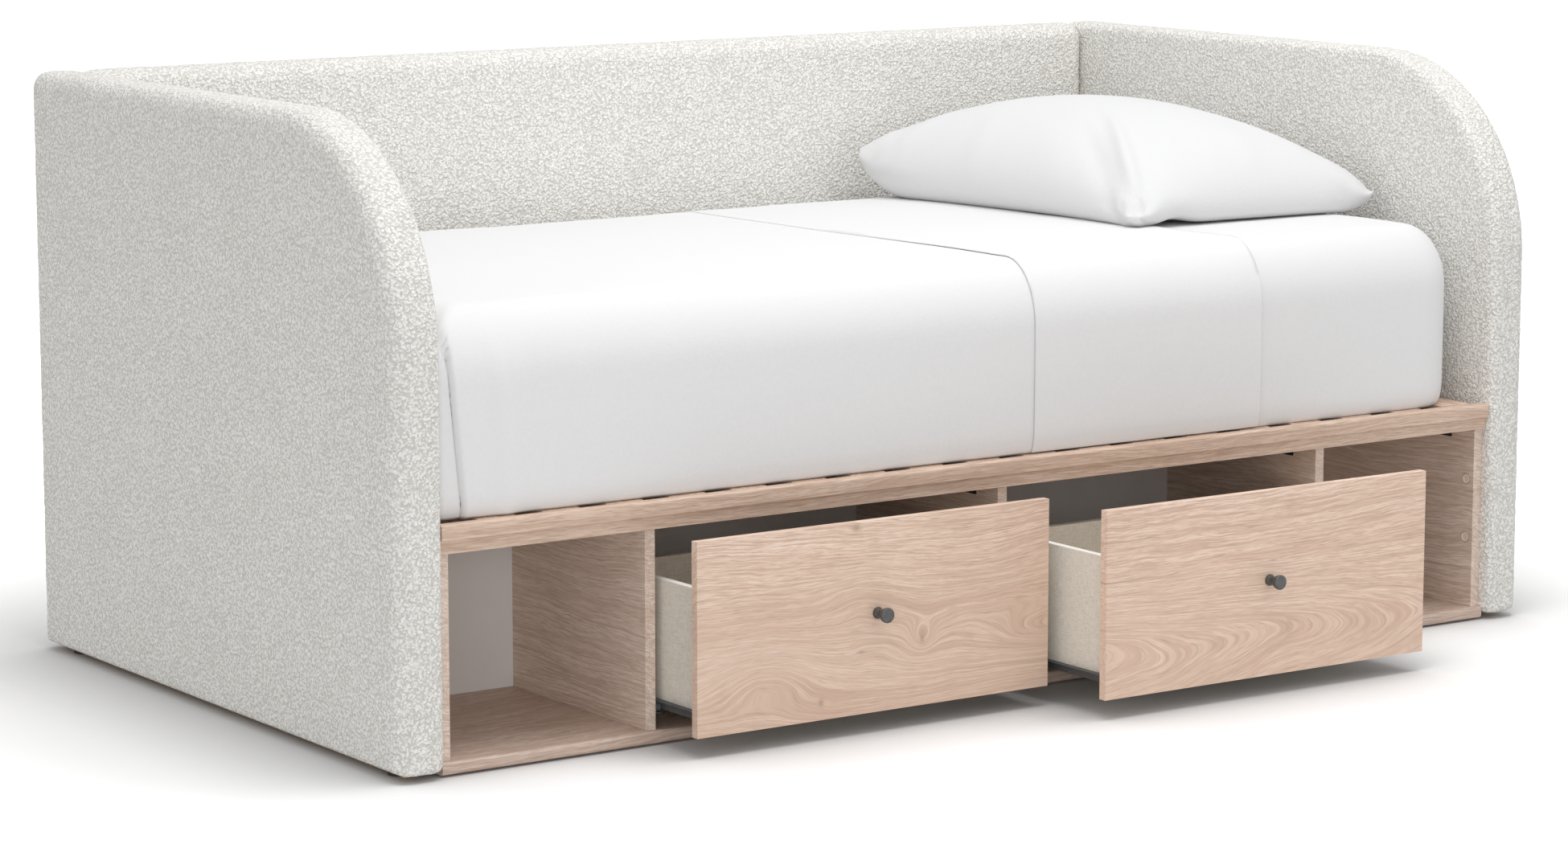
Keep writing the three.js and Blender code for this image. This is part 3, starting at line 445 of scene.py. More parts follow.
def round_edges(part, name, width, angle=EDGE_ANGLE):
    edge = part.modifiers.new(name, "BEVEL")
    edge.width = width
    edge.segments = 2
    edge.limit_method = "ANGLE"
    edge.angle_limit = math.radians(angle)


def dress(material, names, arris=BOARD_ARRIS):
    for name in names.split():
        part = nodes[name]
        if not part.material_slots:
            part.data.materials.append(material)
        part.material_slots[0].material = material
        if arris:
            round_edges(part, "arris", arris, ARRIS_ANGLE)


dress(OAK_LONG, "front_top_strip rear_top_strip front_rail")
dress(OAK_BASE, "base_board")
dress(OAK_DEEP, "end_panel_left end_panel_right divider_left divider_centre divider_right")
dress(OAK_FRONT_LEFT, "drawer_left_front")
dress(OAK_FRONT_RIGHT, "drawer_right_front")
dress(OAK_SLAT, "slat_roll")
dress(BACKING, "back_board")
dress(TIMBER, "rear_ledger mid_beam beam_leg_left beam_leg_right")
dress(TIMBER, "left_panel_board right_panel_board back_panel_board")
dress(GLIDE, "glide_left_front glide_left_rear glide_right_front glide_right_rear", FINE_ARRIS)
dress(GLIDE, "base_glide_front base_glide_rear", FINE_ARRIS)
SIDES = ("left", "right")
for side in SIDES:
    dress(LINEN, f"drawer_{side}_side_inner drawer_{side}_side_outer drawer_{side}_back", FINE_ARRIS)
    dress(LINEN, f"drawer_{side}_bottom", 0)
    for place in ("inner", "outer"):
        dress(RUNNER, f"{side}_runner_{place} drawer_{side}_rail_{place}", 0)
        dress(NYLON, f"{side}_runner_roller_{place} drawer_{side}_roller_{place}", 0)


# Mesh helpers

def add_object(name, mesh, material, smooth=True):
    made = bpy.data.objects.new(name, mesh)
    bpy.context.scene.collection.objects.link(made)
    mesh.materials.clear()
    mesh.materials.append(material)
    if smooth:
        mesh.shade_smooth()
    return made


def mesh_from(name, points, faces):
    mesh = bpy.data.meshes.new(name)
    mesh.from_pydata([tuple(p) for p in points], [], faces)
    mesh.update()
    return mesh


def points_of(mesh, kind="co"):
    values = np.zeros(len(mesh.vertices) * 3, np.float32)
    mesh.vertices.foreach_get(kind, values)
    return values.reshape(-1, 3).astype(float)


def set_points(mesh, points):
    mesh.vertices.foreach_set("co", points.astype(np.float32).ravel())
    mesh.update()


def normals_of(mesh):
    return points_of(mesh, "normal")


def applied(made):
    """Replaces an object's mesh by the result of its modifiers."""
    graph = bpy.context.evaluated_depsgraph_get()
    mesh = bpy.data.meshes.new_from_object(made.evaluated_get(graph))
    made.modifiers.clear()
    old = made.data
    made.data = mesh
    bpy.data.meshes.remove(old)
    return mesh


def ring_faces(last, count):
    """Faces between rings of count points each, up to the one that starts at the last index."""
    return [[base + i, base + (i + 1) % count, base + count + (i + 1) % count, base + count + i]
            for base in range(0, last, count) for i in range(count)]


def outline(left, low, right, high, radii, steps):
    """Points round a rectangle with its own radius at each corner, from the low left corner."""
    corners = [(left, low, 1, 1, 1.0), (right, low, -1, 1, 1.5),
               (right, high, -1, -1, 0.0), (left, high, 1, -1, 0.5)]
    found = []
    for (x, y, in_x, in_y, start), radius, count in zip(corners, radii, steps):
        for step in range(count + 1):
            angle = (start + 0.5 * step / count) * math.pi
            found.append((x + in_x * radius + radius * math.cos(angle),
                          y + in_y * radius + radius * math.sin(angle)))
    return np.array(found)


# Padded panels: a rounded blank, remeshed evenly and raised into curls of looped yarn

PANEL_EDGE = 25 * MM
PANEL_INNER_EDGE = 13 * MM
PANEL_FOOT_EDGE = 9 * MM
PANEL_FRONT_RADIUS = 315 * MM
PANEL_REAR_RADIUS = 26 * MM
PANEL_FOOT_RADIUS = 4 * MM
COVER_FOOT_LIFT = 1.6 * MM
EDGE_RINGS = 6
FOOT_ARC_STEPS, REAR_ARC_STEPS, FRONT_ARC_STEPS = 2, 6, 26
CURL_SIZE = 10 * MM
CURL_HEIGHT = 1.1 * MM
CURL_SEED = 7
CURL_VOXEL = 5 * MM


def panel_blank(name, thickness, ring_at, edges):
    """A stack of outline rings across the panel's thickness, rounded over at both faces."""
    rings = []
    for face, edge in enumerate(edges):
        order = range(EDGE_RINGS + 1) if face == 0 else range(EDGE_RINGS, -1, -1)
        for step in order:
            angle = 0.5 * math.pi * step / EDGE_RINGS
            sink = 1 - math.sin(angle)
            depth = edge * (1 - math.cos(angle))
            across = depth if face == 0 else thickness - depth
            rings.append(ring_at(edge * sink, PANEL_FOOT_EDGE * sink, across))
    count = len(rings[0])
    last = (len(rings) - 1) * count
    faces = [list(range(count))[::-1], *ring_faces(last, count), list(range(last, last + count))]
    return mesh_from(name, np.concatenate(rings), faces)


def curl_relief(points):
    """Height of the looped yarn at each point, from about -1 to 1."""
    found = np.empty(len(points))
    for index, point in enumerate(points):
        place = Vector(point) / CURL_SIZE
        swirl = noise.noise_vector(place * 0.8) * 0.9
        cell = noise.voronoi(place + swirl)[0][0]
        found[index] = 0.55 - cell + 0.35 * noise.noise(place * 0.21)
    return found


def upholster(side, thickness, ring_at, edges):
    name = f"{side}_panel_upholstery"
    made = add_object(name, panel_blank(name, thickness, ring_at, edges), BOUCLE)
    remesh = made.modifiers.new("even", "REMESH")
    remesh.mode = "VOXEL"
    remesh.voxel_size = CURL_VOXEL
    applied(made)
    smooth = made.modifiers.new("soft", "SMOOTH")
    smooth.iterations = 2
    mesh = applied(made)
    points = points_of(mesh)
    raised = CURL_HEIGHT * curl_relief(points)
    set_points(mesh, points + normals_of(mesh) * raised[:, None])
    mesh.shade_smooth()
    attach(made, "root")
    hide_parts(f"{side}_panel_cover")


def panel_outline(inset, foot_inset, left, right, near_radius, near_steps):
    """The panel's outline in its own plane, from its left or front end to its right or rear end."""
    radii = [PANEL_FOOT_RADIUS, PANEL_FOOT_RADIUS, PANEL_REAR_RADIUS - inset, near_radius - inset]
    return outline(left + inset, FOOT_Z + COVER_FOOT_LIFT + foot_inset, right - inset, TOP_Z - inset,
                   radii, [FOOT_ARC_STEPS, FOOT_ARC_STEPS, REAR_ARC_STEPS, near_steps])


def side_ring(inset, foot_inset, across, outer_x):
    flat = panel_outline(inset, foot_inset, FRONT_Y, REAR_Y, PANEL_FRONT_RADIUS, FRONT_ARC_STEPS)
    return np.column_stack([np.full(len(flat), outer_x + across), flat])


def back_ring(inset, foot_inset, across):
    left, right = back_cover_low.x, back_cover_high.x
    flat = panel_outline(inset, foot_inset, left, right, PANEL_REAR_RADIUS, REAR_ARC_STEPS)
    return np.column_stack([flat[:, 0], np.full(len(flat), back_cover_high.y - across), flat[:, 1]])


def make_panels():
    noise.seed_set(CURL_SEED)
    side_thickness = left_cover_high.x - left_cover_low.x
    for name, low, edges in (("left", left_cover_low, (PANEL_EDGE, PANEL_INNER_EDGE)),
                             ("right", right_cover_low, (PANEL_INNER_EDGE, PANEL_EDGE))):
        upholster(name, side_thickness, lambda *place, x=low.x: side_ring(*place, x), edges)
    upholster("back", back_cover_high.y - back_cover_low.y, back_ring, (PANEL_EDGE, PANEL_EDGE))


make_panels()


# Bedding: one mattress surface, from which the sheet and its turned-down band are offset

# How far the front bellies out past the plain solid, and the top stands over it
BED_BULGE = 11 * MM
BED_CROWN = 2 * MM
BED_LEFT, BED_RIGHT = mattress_low.x, mattress_high.x
BED_FRONT, BED_REAR = mattress_low.y - BED_BULGE, mattress_high.y
BED_LOW = mattress_low.z
BED_TOP = mattress_high.z + BED_CROWN
BED_CORNERS = (13 * MM, 85 * MM, 70 * MM, 70 * MM)
BED_SIDE_ROUND = 70 * MM
BED_TOP_ROUND = 95 * MM
BED_FOOT_INSET = 10 * MM
BED_FOOT_HEIGHT = 36 * MM
BED_REAR_DROP = 12 * MM
BED_DROP_POWER = 1.4
LEAST_RADIUS = 10 * MM
SHEET_LIFT = 1.6 * MM
BAND_LIFT = 4.2 * MM
SHEET_THICKNESS = 1.3 * MM
SHEET_FOOT = 2 * MM
FOLD_X = mattress_high.x - 430 * MM
HEM_X = FOLD_X - 440 * MM
BED_LONG_STEPS = 300
BED_SHORT_STEPS = 50
BED_ARC_STEPS = 8
FOOT_RINGS, SIDE_RINGS, ROUND_RINGS, TOP_RINGS = 6, 12, 12, 24
FRONT_CROWDING = 1.9


def bed_ring(inset, height, crowding=FRONT_CROWDING):
    """One level ring of the bed. The points of its long sides crowd towards the left end and its crease."""
    radii = [max(radius - inset, LEAST_RADIUS) for radius in BED_CORNERS]
    left, right = BED_LEFT + inset, BED_RIGHT - inset
    front, rear = BED_FRONT + inset, BED_REAR - inset
    arcs = outline(left, front, right, rear, radii, [BED_ARC_STEPS] * 4)
    per_arc = BED_ARC_STEPS + 1
    found = []
    for corner, steps in enumerate((BED_LONG_STEPS, BED_SHORT_STEPS) * 2):
        arc = arcs[corner * per_arc:(corner + 1) * per_arc]
        following = arcs[((corner + 1) % 4) * per_arc]
        shares = np.linspace(0, 1, steps + 1)[1:-1, None]
        if corner == 0:
            shares = shares ** crowding
        elif corner == 2:
            shares = 1 - (1 - shares) ** crowding
        found += [arc, arc[-1] + (following - arc[-1]) * shares]
    flat = np.concatenate(found)
    return np.column_stack([flat, np.full(len(flat), height)])


def bed_surface():
    """Points and faces of the mattress, from its foot up the sides and over the top."""
    rings = []
    for step in range(FOOT_RINGS + 1):
        angle = 0.5 * math.pi * step / FOOT_RINGS
        rise = BED_FOOT_HEIGHT * (1 - math.cos(angle))
        rings.append(bed_ring(BED_FOOT_INSET * (1 - math.sin(angle)), BED_LOW + rise))
    side_low = BED_LOW + BED_FOOT_HEIGHT
    side_high = BED_TOP - BED_TOP_ROUND
    for step in range(1, SIDE_RINGS):
        rings.append(bed_ring(0, side_low + (side_high - side_low) * step / SIDE_RINGS))
    for step in range(ROUND_RINGS + 1):
        angle = 0.5 * math.pi * step / ROUND_RINGS
        height = side_high + BED_TOP_ROUND * math.sin(angle)
        rings.append(bed_ring(BED_SIDE_ROUND * (1 - math.cos(angle)), height))
    edge = rings[-1]
    even = bed_ring(BED_SIDE_ROUND, BED_TOP, 1.0)
    centre = even.mean(axis=0)
    for share in np.linspace(1, 0, TOP_RINGS)[1:-1]:
        rings.append(centre + (even + (edge - even) * share - centre) * share)
    count = len(edge)
    points = np.concatenate(rings + [centre[None, :]])
    last = (len(rings) - 1) * count
    faces = ring_faces(last, count)
    faces += [[last + i, last + (i + 1) % count, last + count] for i in range(count)]
    return points, faces, count


def soft_step(low, high, value):
    share = np.clip((value - low) / (high - low), 0, 1)
    return share * share * (3 - 2 * share)


# Soft upright folds on the front: place and width as shares of the length, depth in mm, lean
FRONT_FOLDS = (
    (0.048, 0.008, 3.0, 0.010), (0.066, 0.010, 2.2, -0.006), (0.115, 0.016, 1.4, 0.012),
    (0.190, 0.02, 1.0, 0.015), (0.500, 0.018, 1.2, 0.01), (0.640, 0.010, 1.3, 0.01),
    (0.700, 0.008, 1.6, 0.012), (0.722, 0.008, 1.4, 0.008), (0.745, 0.009, 1.2, 0.006),
    (0.860, 0.014, 0.9, 0.01),
)
BELLY = 1.5 * MM
# The crease at the front's left end: its place at the top, spread below, step and groove
CREASE_HIGH = 17 * MM
CREASE_SPREAD = 26 * MM
CREASE_STEP = 7 * MM
CREASE_GROOVE = 6 * MM
CREASE_HALF, GROOVE_HALF = 1.8 * MM, 2.2 * MM
WAVE_HEIGHT, RIPPLE_HEIGHT = 2.0 * MM, 0.9 * MM


def bed_depth(y):
    """Share of the way from the bed's front to its rear."""
    return (y - BED_FRONT) / (BED_REAR - BED_FRONT)


def shape_bed(points):
    """Lets the blank settle: it falls to the rear, bellies out, and a crease and folds run down its front."""
    x, y, z = points.T
    depth = bed_depth(y)
    height = (z - BED_LOW) / (BED_TOP - BED_LOW)
    z = z - BED_REAR_DROP * np.clip(depth, 0, 1) ** BED_DROP_POWER * height
    on_front = soft_step(0.07, 0.0, depth)
    length = (x - BED_LEFT) / (BED_RIGHT - BED_LEFT)
    folds = BELLY * np.sin(np.pi * np.clip(height, 0, 1))
    for place, width, deep, lean in FRONT_FOLDS:
        centre = place + lean * (1 - height)
        folds += deep * MM * np.exp(-(((length - centre) / width) ** 2)) * soft_step(1.0, 0.6, height)
    y = y - folds * on_front
    crease = BED_LEFT + CREASE_HIGH + CREASE_SPREAD * (1 - height).clip(0) ** 1.3
    low_enough = soft_step(0.97, 0.86, height)
    behind = soft_step(crease + CREASE_HALF, crease - CREASE_HALF, x)
    groove = np.exp(-(((x - crease) / GROOVE_HALF) ** 2))
    y = y + (CREASE_STEP * behind + CREASE_GROOVE * groove) * low_enough * on_front
    wave = np.array([noise.noise(Vector((px * 3.1, py * 4.3, pz * 2.0))) for px, py, pz in points])
    ripple = np.array([noise.noise(Vector((px * 9.0 + 7, py * 6.0, pz * 3.0))) for px, py, pz in points])
    z = z + (WAVE_HEIGHT * wave + RIPPLE_HEIGHT * ripple) * np.clip(height, 0, 1)
    return np.column_stack([x, y, z])


def cut(mesh, place, normal):
    """Cuts a mesh by a plane and drops what lies on the normal's side."""
    work = bmesh.new()
    work.from_mesh(mesh)
    geometry = work.verts[:] + work.edges[:] + work.faces[:]
    bmesh.ops.bisect_plane(work, geom=geometry, plane_co=place, plane_no=normal, clear_outer=True)
    work.to_mesh(mesh)
    work.free()
    mesh.update()


def make_mattress(points, faces, count):
    bottom = list(range(count))[::-1]
    mesh = mesh_from("mattress_dressed", points, faces + [bottom])
    made = add_object("mattress_dressed", mesh, MATTRESS_COTTON)
    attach(made, "root")
    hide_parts("mattress")


def layer(name, points, faces, lift, from_x=None):
    """A single layer of cloth lying at a lift over the mattress, from one x to the fold."""
    mesh = mesh_from(name, points, faces)
    set_points(mesh, points + normals_of(mesh) * np.reshape(lift, (-1, 1)))
    cut(mesh, (0, 0, BED_LOW + SHEET_FOOT), (0, 0, -1))
    cut(mesh, (FOLD_X, 0, 0), (1, 0, 0))
    if from_x is not None:
        cut(mesh, (from_x, 0, 0), (-1, 0, 0))
    return mesh


def joined(name, meshes):
    work = bmesh.new()
    for mesh in meshes:
        work.from_mesh(mesh)
    made = bpy.data.meshes.new(name)
    work.to_mesh(made)
    work.free()
    return made


def make_top_sheet(points, faces):
    """The sheet, and its band turned down over it, which lies flatter towards the rear."""
    near = soft_step(0.55, 0.12, bed_depth(points[:, 1]))
    band_lift = SHEET_LIFT + SHEET_THICKNESS + (BAND_LIFT - SHEET_LIFT - SHEET_THICKNESS) * near
    under = layer("sheet_under", points, faces, SHEET_LIFT)
    band = layer("sheet_band", points, faces, band_lift, HEM_X)
    mesh = joined("top_sheet_dressed", [under, band])
    made = add_object("top_sheet_dressed", mesh, SHEET_COTTON)
    thick = made.modifiers.new("cloth", "SOLIDIFY")
    thick.thickness = SHEET_THICKNESS
    thick.offset = -0.5
    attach(made, "root")
    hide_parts("top_sheet")


# Pillow: two sheets of ticking sewn round their edge, blown up by their filling until they rest on the bed.
# Its places are in metres: x, y from the panels' front plane, and z.

# Corners: near left, near right, far right, far left
PILLOW_CORNERS = ((0.462, 0.290, 0.662), (0.930, 0.262, 0.684), (0.930, 0.930, 0.700), (0.424, 0.999, 0.731))
PILLOW_CUT = 1.11
PILLOW_FILLING = 0.0425
PILLOW_DOME = 20 * MM
# Columns, rows and steps
FINE_PILLOW, QUICK_PILLOW = (48, 66, 110), (24, 33, 60)
PILLOW_SWEEPS = 10
PILLOW_FALL = 0.25 * MM
PILLOW_REACH = 6 * MM
PILLOW_EASE = 0.92
BED_GRIP = 0.3
BED_GAP = 1.5 * MM
TIP_REACH = 70 * MM
# Links of the weave: steps along each way of the grid, and stiffness
WEAVE = ((1, 0, 1.0), (0, 1, 1.0), (1, 1, 0.3), (1, -1, 0.3), (2, 0, 0.08), (0, 2, 0.08))


def bed_height(y):
    """Height of the bed's top at a depth."""
    return BED_TOP + BED_GAP - BED_REAR_DROP * np.clip(bed_depth(y), 0, 1) ** BED_DROP_POWER


def pillow_links(sheets):
    """Pairs of points for each kind of link, in groups in which no point comes twice."""
    found = []
    for sheet in sheets:
        rows, columns = np.indices(sheet.shape)
        for down, right, stiffness in WEAVE:
            key = rows if down else columns
            beside = columns + right
            inside = (rows + down < sheet.shape[0]) & (beside < sheet.shape[1]) & (beside >= 0)
            for phase in (0, 1):
                pick = inside & ((key // max(down, right)) % 2 == phase)
                r, c = rows[pick], columns[pick]
                found.append((sheet[r, c], sheet[r + down, c + right], stiffness))
    return found


def blow_up(points, flat, sheets, quads, pinned, steps):
    """Fills the pillow: pressure, weight and the weave's links, with the bed below and the corners held."""
    links = [(a, b, s, np.linalg.norm(flat[a] - flat[b], axis=1)) for a, b, s in pillow_links(sheets)]
    held = points[pinned]
    speed = np.zeros_like(points)
    for step in range(steps):
        corner = points[quads]
        normal = np.cross(corner[:, 2] - corner[:, 0], corner[:, 3] - corner[:, 1]) / 2
        volume = (normal * corner.mean(axis=1)).sum() / 3
        wanted = PILLOW_FILLING * min(1, 2 * (step + 1) / steps)
        share = np.column_stack([np.bincount(quads.ravel(), np.repeat(normal[:, k] / 4, 4), len(points))
                                 for k in range(3)])
        before = points
        speed *= PILLOW_EASE
        speed[:, 2] -= PILLOW_FALL
        points = points + speed + share * ((wanted - volume) / (share ** 2).sum())
        for _ in range(PILLOW_SWEEPS):
            for a, b, stiffness, rest in links:
                gap = points[b] - points[a]
                size = np.sqrt((gap * gap).sum(axis=1))
                move = gap * (stiffness * 0.5 * (1 - rest / np.maximum(size, 1e-9)))[:, None]
                points[a] += move
                points[b] -= move
            points[:, 2] = np.maximum(points[:, 2], bed_height(points[:, 1]))
            points[pinned] = held
        resting = points[:, 2] <= bed_height(points[:, 1]) + 0.01 * MM
        points[resting, :2] = before[resting, :2] + (points[resting, :2] - before[resting, :2]) * BED_GRIP
        speed = points - before
        size = np.linalg.norm(speed, axis=1)
        speed *= np.minimum(1, PILLOW_REACH / np.maximum(size, 1e-9))[:, None]
    return points


def make_pillow():
    columns, rows, steps = FINE_PILLOW
    upper = np.arange((columns + 1) * (rows + 1)).reshape(columns + 1, rows + 1)
    inner = np.zeros(upper.shape, bool)
    inner[1:-1, 1:-1] = True
    lower = upper.copy()
    lower[inner] = upper.size + np.arange(inner.sum())
    across, along = np.meshgrid(np.linspace(0, 1, columns + 1), np.linspace(0, 1, rows + 1), indexing="ij")
    corners = np.array(PILLOW_CORNERS) + (0, FRONT_Y, 0)
    shares = np.stack([(1 - across) * (1 - along), across * (1 - along),
                       across * along, (1 - across) * along], -1)
    seam = shares @ corners
    middle = corners.mean(axis=0)[:2]
    flat = middle + (seam[..., :2] - middle) * PILLOW_CUT
    dome = PILLOW_DOME * np.sqrt((np.sin(across * math.pi) * np.sin(along * math.pi)).clip(0))
    top, low = seam.copy(), seam.copy()
    top[..., 2] += dome
    low[..., 2] = np.maximum(low[..., 2] - dome, bed_height(low[..., 1]))
    points = np.concatenate([top.reshape(-1, 3), low[inner]])
    flat = np.concatenate([flat.reshape(-1, 2), flat[inner]])
    faces = [np.stack([s[:-1, :-1], s[1:, :-1], s[1:, 1:], s[:-1, 1:]], -1).reshape(-1, 4)
             for s in (upper, lower)]
    quads = np.concatenate([faces[0], faces[1][:, ::-1]])
    pinned = [upper[0, 0], upper[-1, 0], upper[-1, -1], upper[0, -1]]
    points = blow_up(points, flat, (upper, lower), quads, pinned, steps)
    mesh = mesh_from("pillow_dressed", points, quads.tolist())
    made = add_object("pillow_dressed", mesh, PILLOW_COTTON)
    ease = made.modifiers.new("ease", "SMOOTH")
    ease.iterations = 3
    tip = made.vertex_groups.new(name="tip")
    far_left = points[pinned[3]]
    for index, distance in enumerate(np.linalg.norm(points - far_left, axis=1)):
        if distance < TIP_REACH:
            tip.add([index], 1 - distance / TIP_REACH, "REPLACE")
    blunt = made.modifiers.new("blunt", "SMOOTH")
    blunt.iterations = 60
    blunt.vertex_group = "tip"
    made.modifiers.new("finer", "SUBSURF")
    mesh = applied(made)
    fold_pillow(mesh)
    mesh.shade_smooth()
    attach(made, "root")
    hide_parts("pillow")


# Folds on the pillow: start and end seen from above, width and height in mm
PILLOW_FOLDS = (
    ((0.480, 0.310), (0.620, 0.560), 12, 13.0),
    ((0.460, 0.352), (0.575, 0.580), 15, -4.5),
    ((0.440, 0.980), (0.680, 0.660), 70, 9.0),
    ((0.500, 0.360), (0.590, 0.640), 22, 3.0),
    ((0.560, 0.330), (0.680, 0.480), 20, 2.5),
    ((0.470, 0.480), (0.540, 0.640), 26, 2.0),
    ((0.455, 0.700), (0.560, 0.760), 24, 2.2),
    ((0.450, 0.900), (0.580, 0.850), 22, 3.0),
    ((0.840, 0.330), (0.760, 0.500), 24, 2.6),
    ((0.720, 0.300), (0.730, 0.420), 26, 2.0),
)


# The near corner's turned end: an upright lobe, its place, way out, half width, height and depth
EAR_PLACE = np.array((0.468, 0.298))
EAR_WAY = np.array((-0.567, -0.824))
EAR_HALF = 15 * MM
EAR_HIGH = 46 * MM
EAR_DEEP = 12 * MM
# Where the front seam lifts off the bed beside the near corner: place, half sizes and lift
ARCH_PLACE = np.array((0.546, 0.300))
ARCH_HALF = np.array((0.036, 0.060))
ARCH_LIFT = 9 * MM
# The far left corner stands up a little and its point is drawn in: place, way in, reaches, lift and draw
CORNER_PLACE = np.array((0.424, 0.999))
CORNER_WAY = np.array((0.6, -0.8))
CORNER_REACH = 55 * MM
CORNER_LIFT = 17 * MM
POINT_REACH = 22 * MM
POINT_DRAW = 9 * MM


def fold_pillow(mesh):
    """Raises soft ridges on the upper sheet, which run in from the corners, and the near corner's lobe."""
    points = points_of(mesh)
    normals = normals_of(mesh)
    raised = np.zeros(len(points))
    inner = points[:, :2] - (0, FRONT_Y)
    for start, end, width, height in PILLOW_FOLDS:
        start, end = np.array(start), np.array(end)
        way = end - start
        share = ((inner - start) @ way) / (way @ way)
        aside = np.linalg.norm(inner - start - share[:, None] * way, axis=1)
        along = soft_step(-0.15, 0.12, share) * soft_step(1.1, 0.35, share)
        raised += height * MM * along * np.exp(-((aside / (width * MM)) ** 2))
    raised *= soft_step(-0.2, 0.25, normals[:, 2])
    aside = np.abs((inner - EAR_PLACE) @ (-EAR_WAY[1], EAR_WAY[0]))
    near = soft_step(60 * MM, 45 * MM, np.linalg.norm(inner - EAR_PLACE, axis=1))
    low = soft_step(EAR_HIGH + 2 * MM, EAR_HIGH - 2 * MM, points[:, 2] - bed_height(points[:, 1]))
    pushed = EAR_DEEP * near * low * soft_step(EAR_HALF + 3 * MM, EAR_HALF - 3 * MM, aside)
    arch = np.exp(-(((inner - ARCH_PLACE) / ARCH_HALF) ** 2).sum(axis=1))
    arch *= ARCH_LIFT * soft_step(70 * MM, 10 * MM, points[:, 2] - bed_height(points[:, 1]))
    moved = points + normals * raised[:, None] + np.outer(pushed, (*EAR_WAY, 0))
    corner = np.linalg.norm(inner - CORNER_PLACE, axis=1)
    moved[:, 2] += arch + CORNER_LIFT * np.exp(-((corner / CORNER_REACH) ** 2))
    moved[:, :2] += np.outer(POINT_DRAW * soft_step(POINT_REACH, 0, corner), CORNER_WAY)
    set_points(mesh, moved)


def make_bedding():
    points, faces, count = bed_surface()
    shaped = shape_bed(points)
    make_mattress(shaped, faces, count)
    make_top_sheet(shaped, faces)
    make_pillow()


make_bedding()


# Small turned and pressed hardware

TURNED_EDGE = 0.25 * MM
PRESSED_EDGE = 0.5 * MM


def lathe(name, profile, place, axis, material, sides=48):
    """Turns a profile of (radius, height) in mm about an axis through a place."""
    ring = [(math.cos(2 * math.pi * i / sides), math.sin(2 * math.pi * i / sides)) for i in range(sides)]
    profile = [(radius * MM, height * MM) for radius, height in profile]
    points = [(radius * c, radius * s, height) for radius, height in profile[1:-1] for c, s in ring]
    levels = len(profile) - 2
    top = (levels - 1) * sides
    faces = ring_faces(top, sides)
    start, end = len(points), len(points) + 1
    points += [(0, 0, profile[0][1]), (0, 0, profile[-1][1])]
    for i in range(sides):
        j = (i + 1) % sides
        faces.append([start, j, i])
        faces.append([end, top + i, top + j])
    mesh = mesh_from(name, points, faces)
    turn = Vector((0, 0, 1)).rotation_difference(Vector(axis)).to_matrix().to_4x4()
    mesh.transform(Matrix.Translation(Vector(place)) @ turn)
    made = add_object(name, mesh, material)
    round_edges(made, "edges", TURNED_EDGE)
    return made


# The knob's outline in mm: radius, and height over the drawer front
KNOB_PROFILE = [
    (0, 0.2), (7.5, 0.2), (8.1, 0.9), (8.1, 2.4), (7.5, 4.2), (6.7, 6.4), (6.2, 9.0), (6.3, 11.5),
    (7.0, 14.0), (8.2, 16.8), (9.3, 19.4), (10.1, 22.0), (10.4, 24.0), (10.4, 25.6), (9.7, 26.9),
    (7.6, 27.8), (4.0, 28.4), (0, 28.5),
]
KNOB_FULLNESS = 1.07


def make_knobs():
    profile = [(radius * KNOB_FULLNESS, height) for radius, height in KNOB_PROFILE]
    for side in SIDES:
        low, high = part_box(f"drawer_{side}_knob")
        front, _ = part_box(f"drawer_{side}_front")
        place = ((low.x + high.x) / 2, front.y, (low.z + high.z) / 2)
        made = lathe(f"drawer_{side}_pull", profile, place, (0, -1, 0), GUNMETAL)
        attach(made, f"drawer_{side}")
        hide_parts(f"drawer_{side}_knob")


# Outlines in mm of the cam covers and of the dark rings round them, which are painted shade for the gap round
# each cover: radius, and height over the panel
CAP_PROFILE = [(0, -0.3), (8, -0.3), (8, 0.9), (5.76, 0.9), (5.28, 0.315), (1.6, 0.27), (0, 0.27)]
GAP_SHADE_PROFILE = [(0, -0.3), (9.3, -0.3), (9.3, 0.1), (0, 0.1)]
CAP_SETBACK = 17 * MM
CAP_HEIGHTS = (229 * MM, 134 * MM)


def make_cam_caps():
    for side, sign in (("left", 1), ("right", -1)):
        low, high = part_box(f"end_panel_{side}")
        face_x = high.x if sign > 0 else low.x
        for index, height in enumerate(CAP_HEIGHTS):
            place = (face_x, low.y + CAP_SETBACK, height)
            # The second ring is painted shade: a dark disc where the gap round the cover falls in shadow
            for kind, profile, material in (("cap", CAP_PROFILE, CAP), ("gap_shade", GAP_SHADE_PROFILE, CAP_GAP_SHADE)):
                made = lathe(f"cam_{kind}_{side}_{index + 1}", profile, place, (sign, 0, 0), material)
                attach(made, "root")


BRACKET_WIDTH = 26 * MM
BRACKET_LEG = 19 * MM
BRACKET_METAL = 1.8 * MM
BRACKET_SETBACK = 52 * MM
BRACKET_GAP = 0.2 * MM
# The screw head's outline in mm, and its share of the way down the leg
SCREW_PROFILE = [(0, 0), (3.2, 0), (3.4, 0.4), (2.4, 1.4), (0, 1.6)]
SCREW_DOWN = 0.62


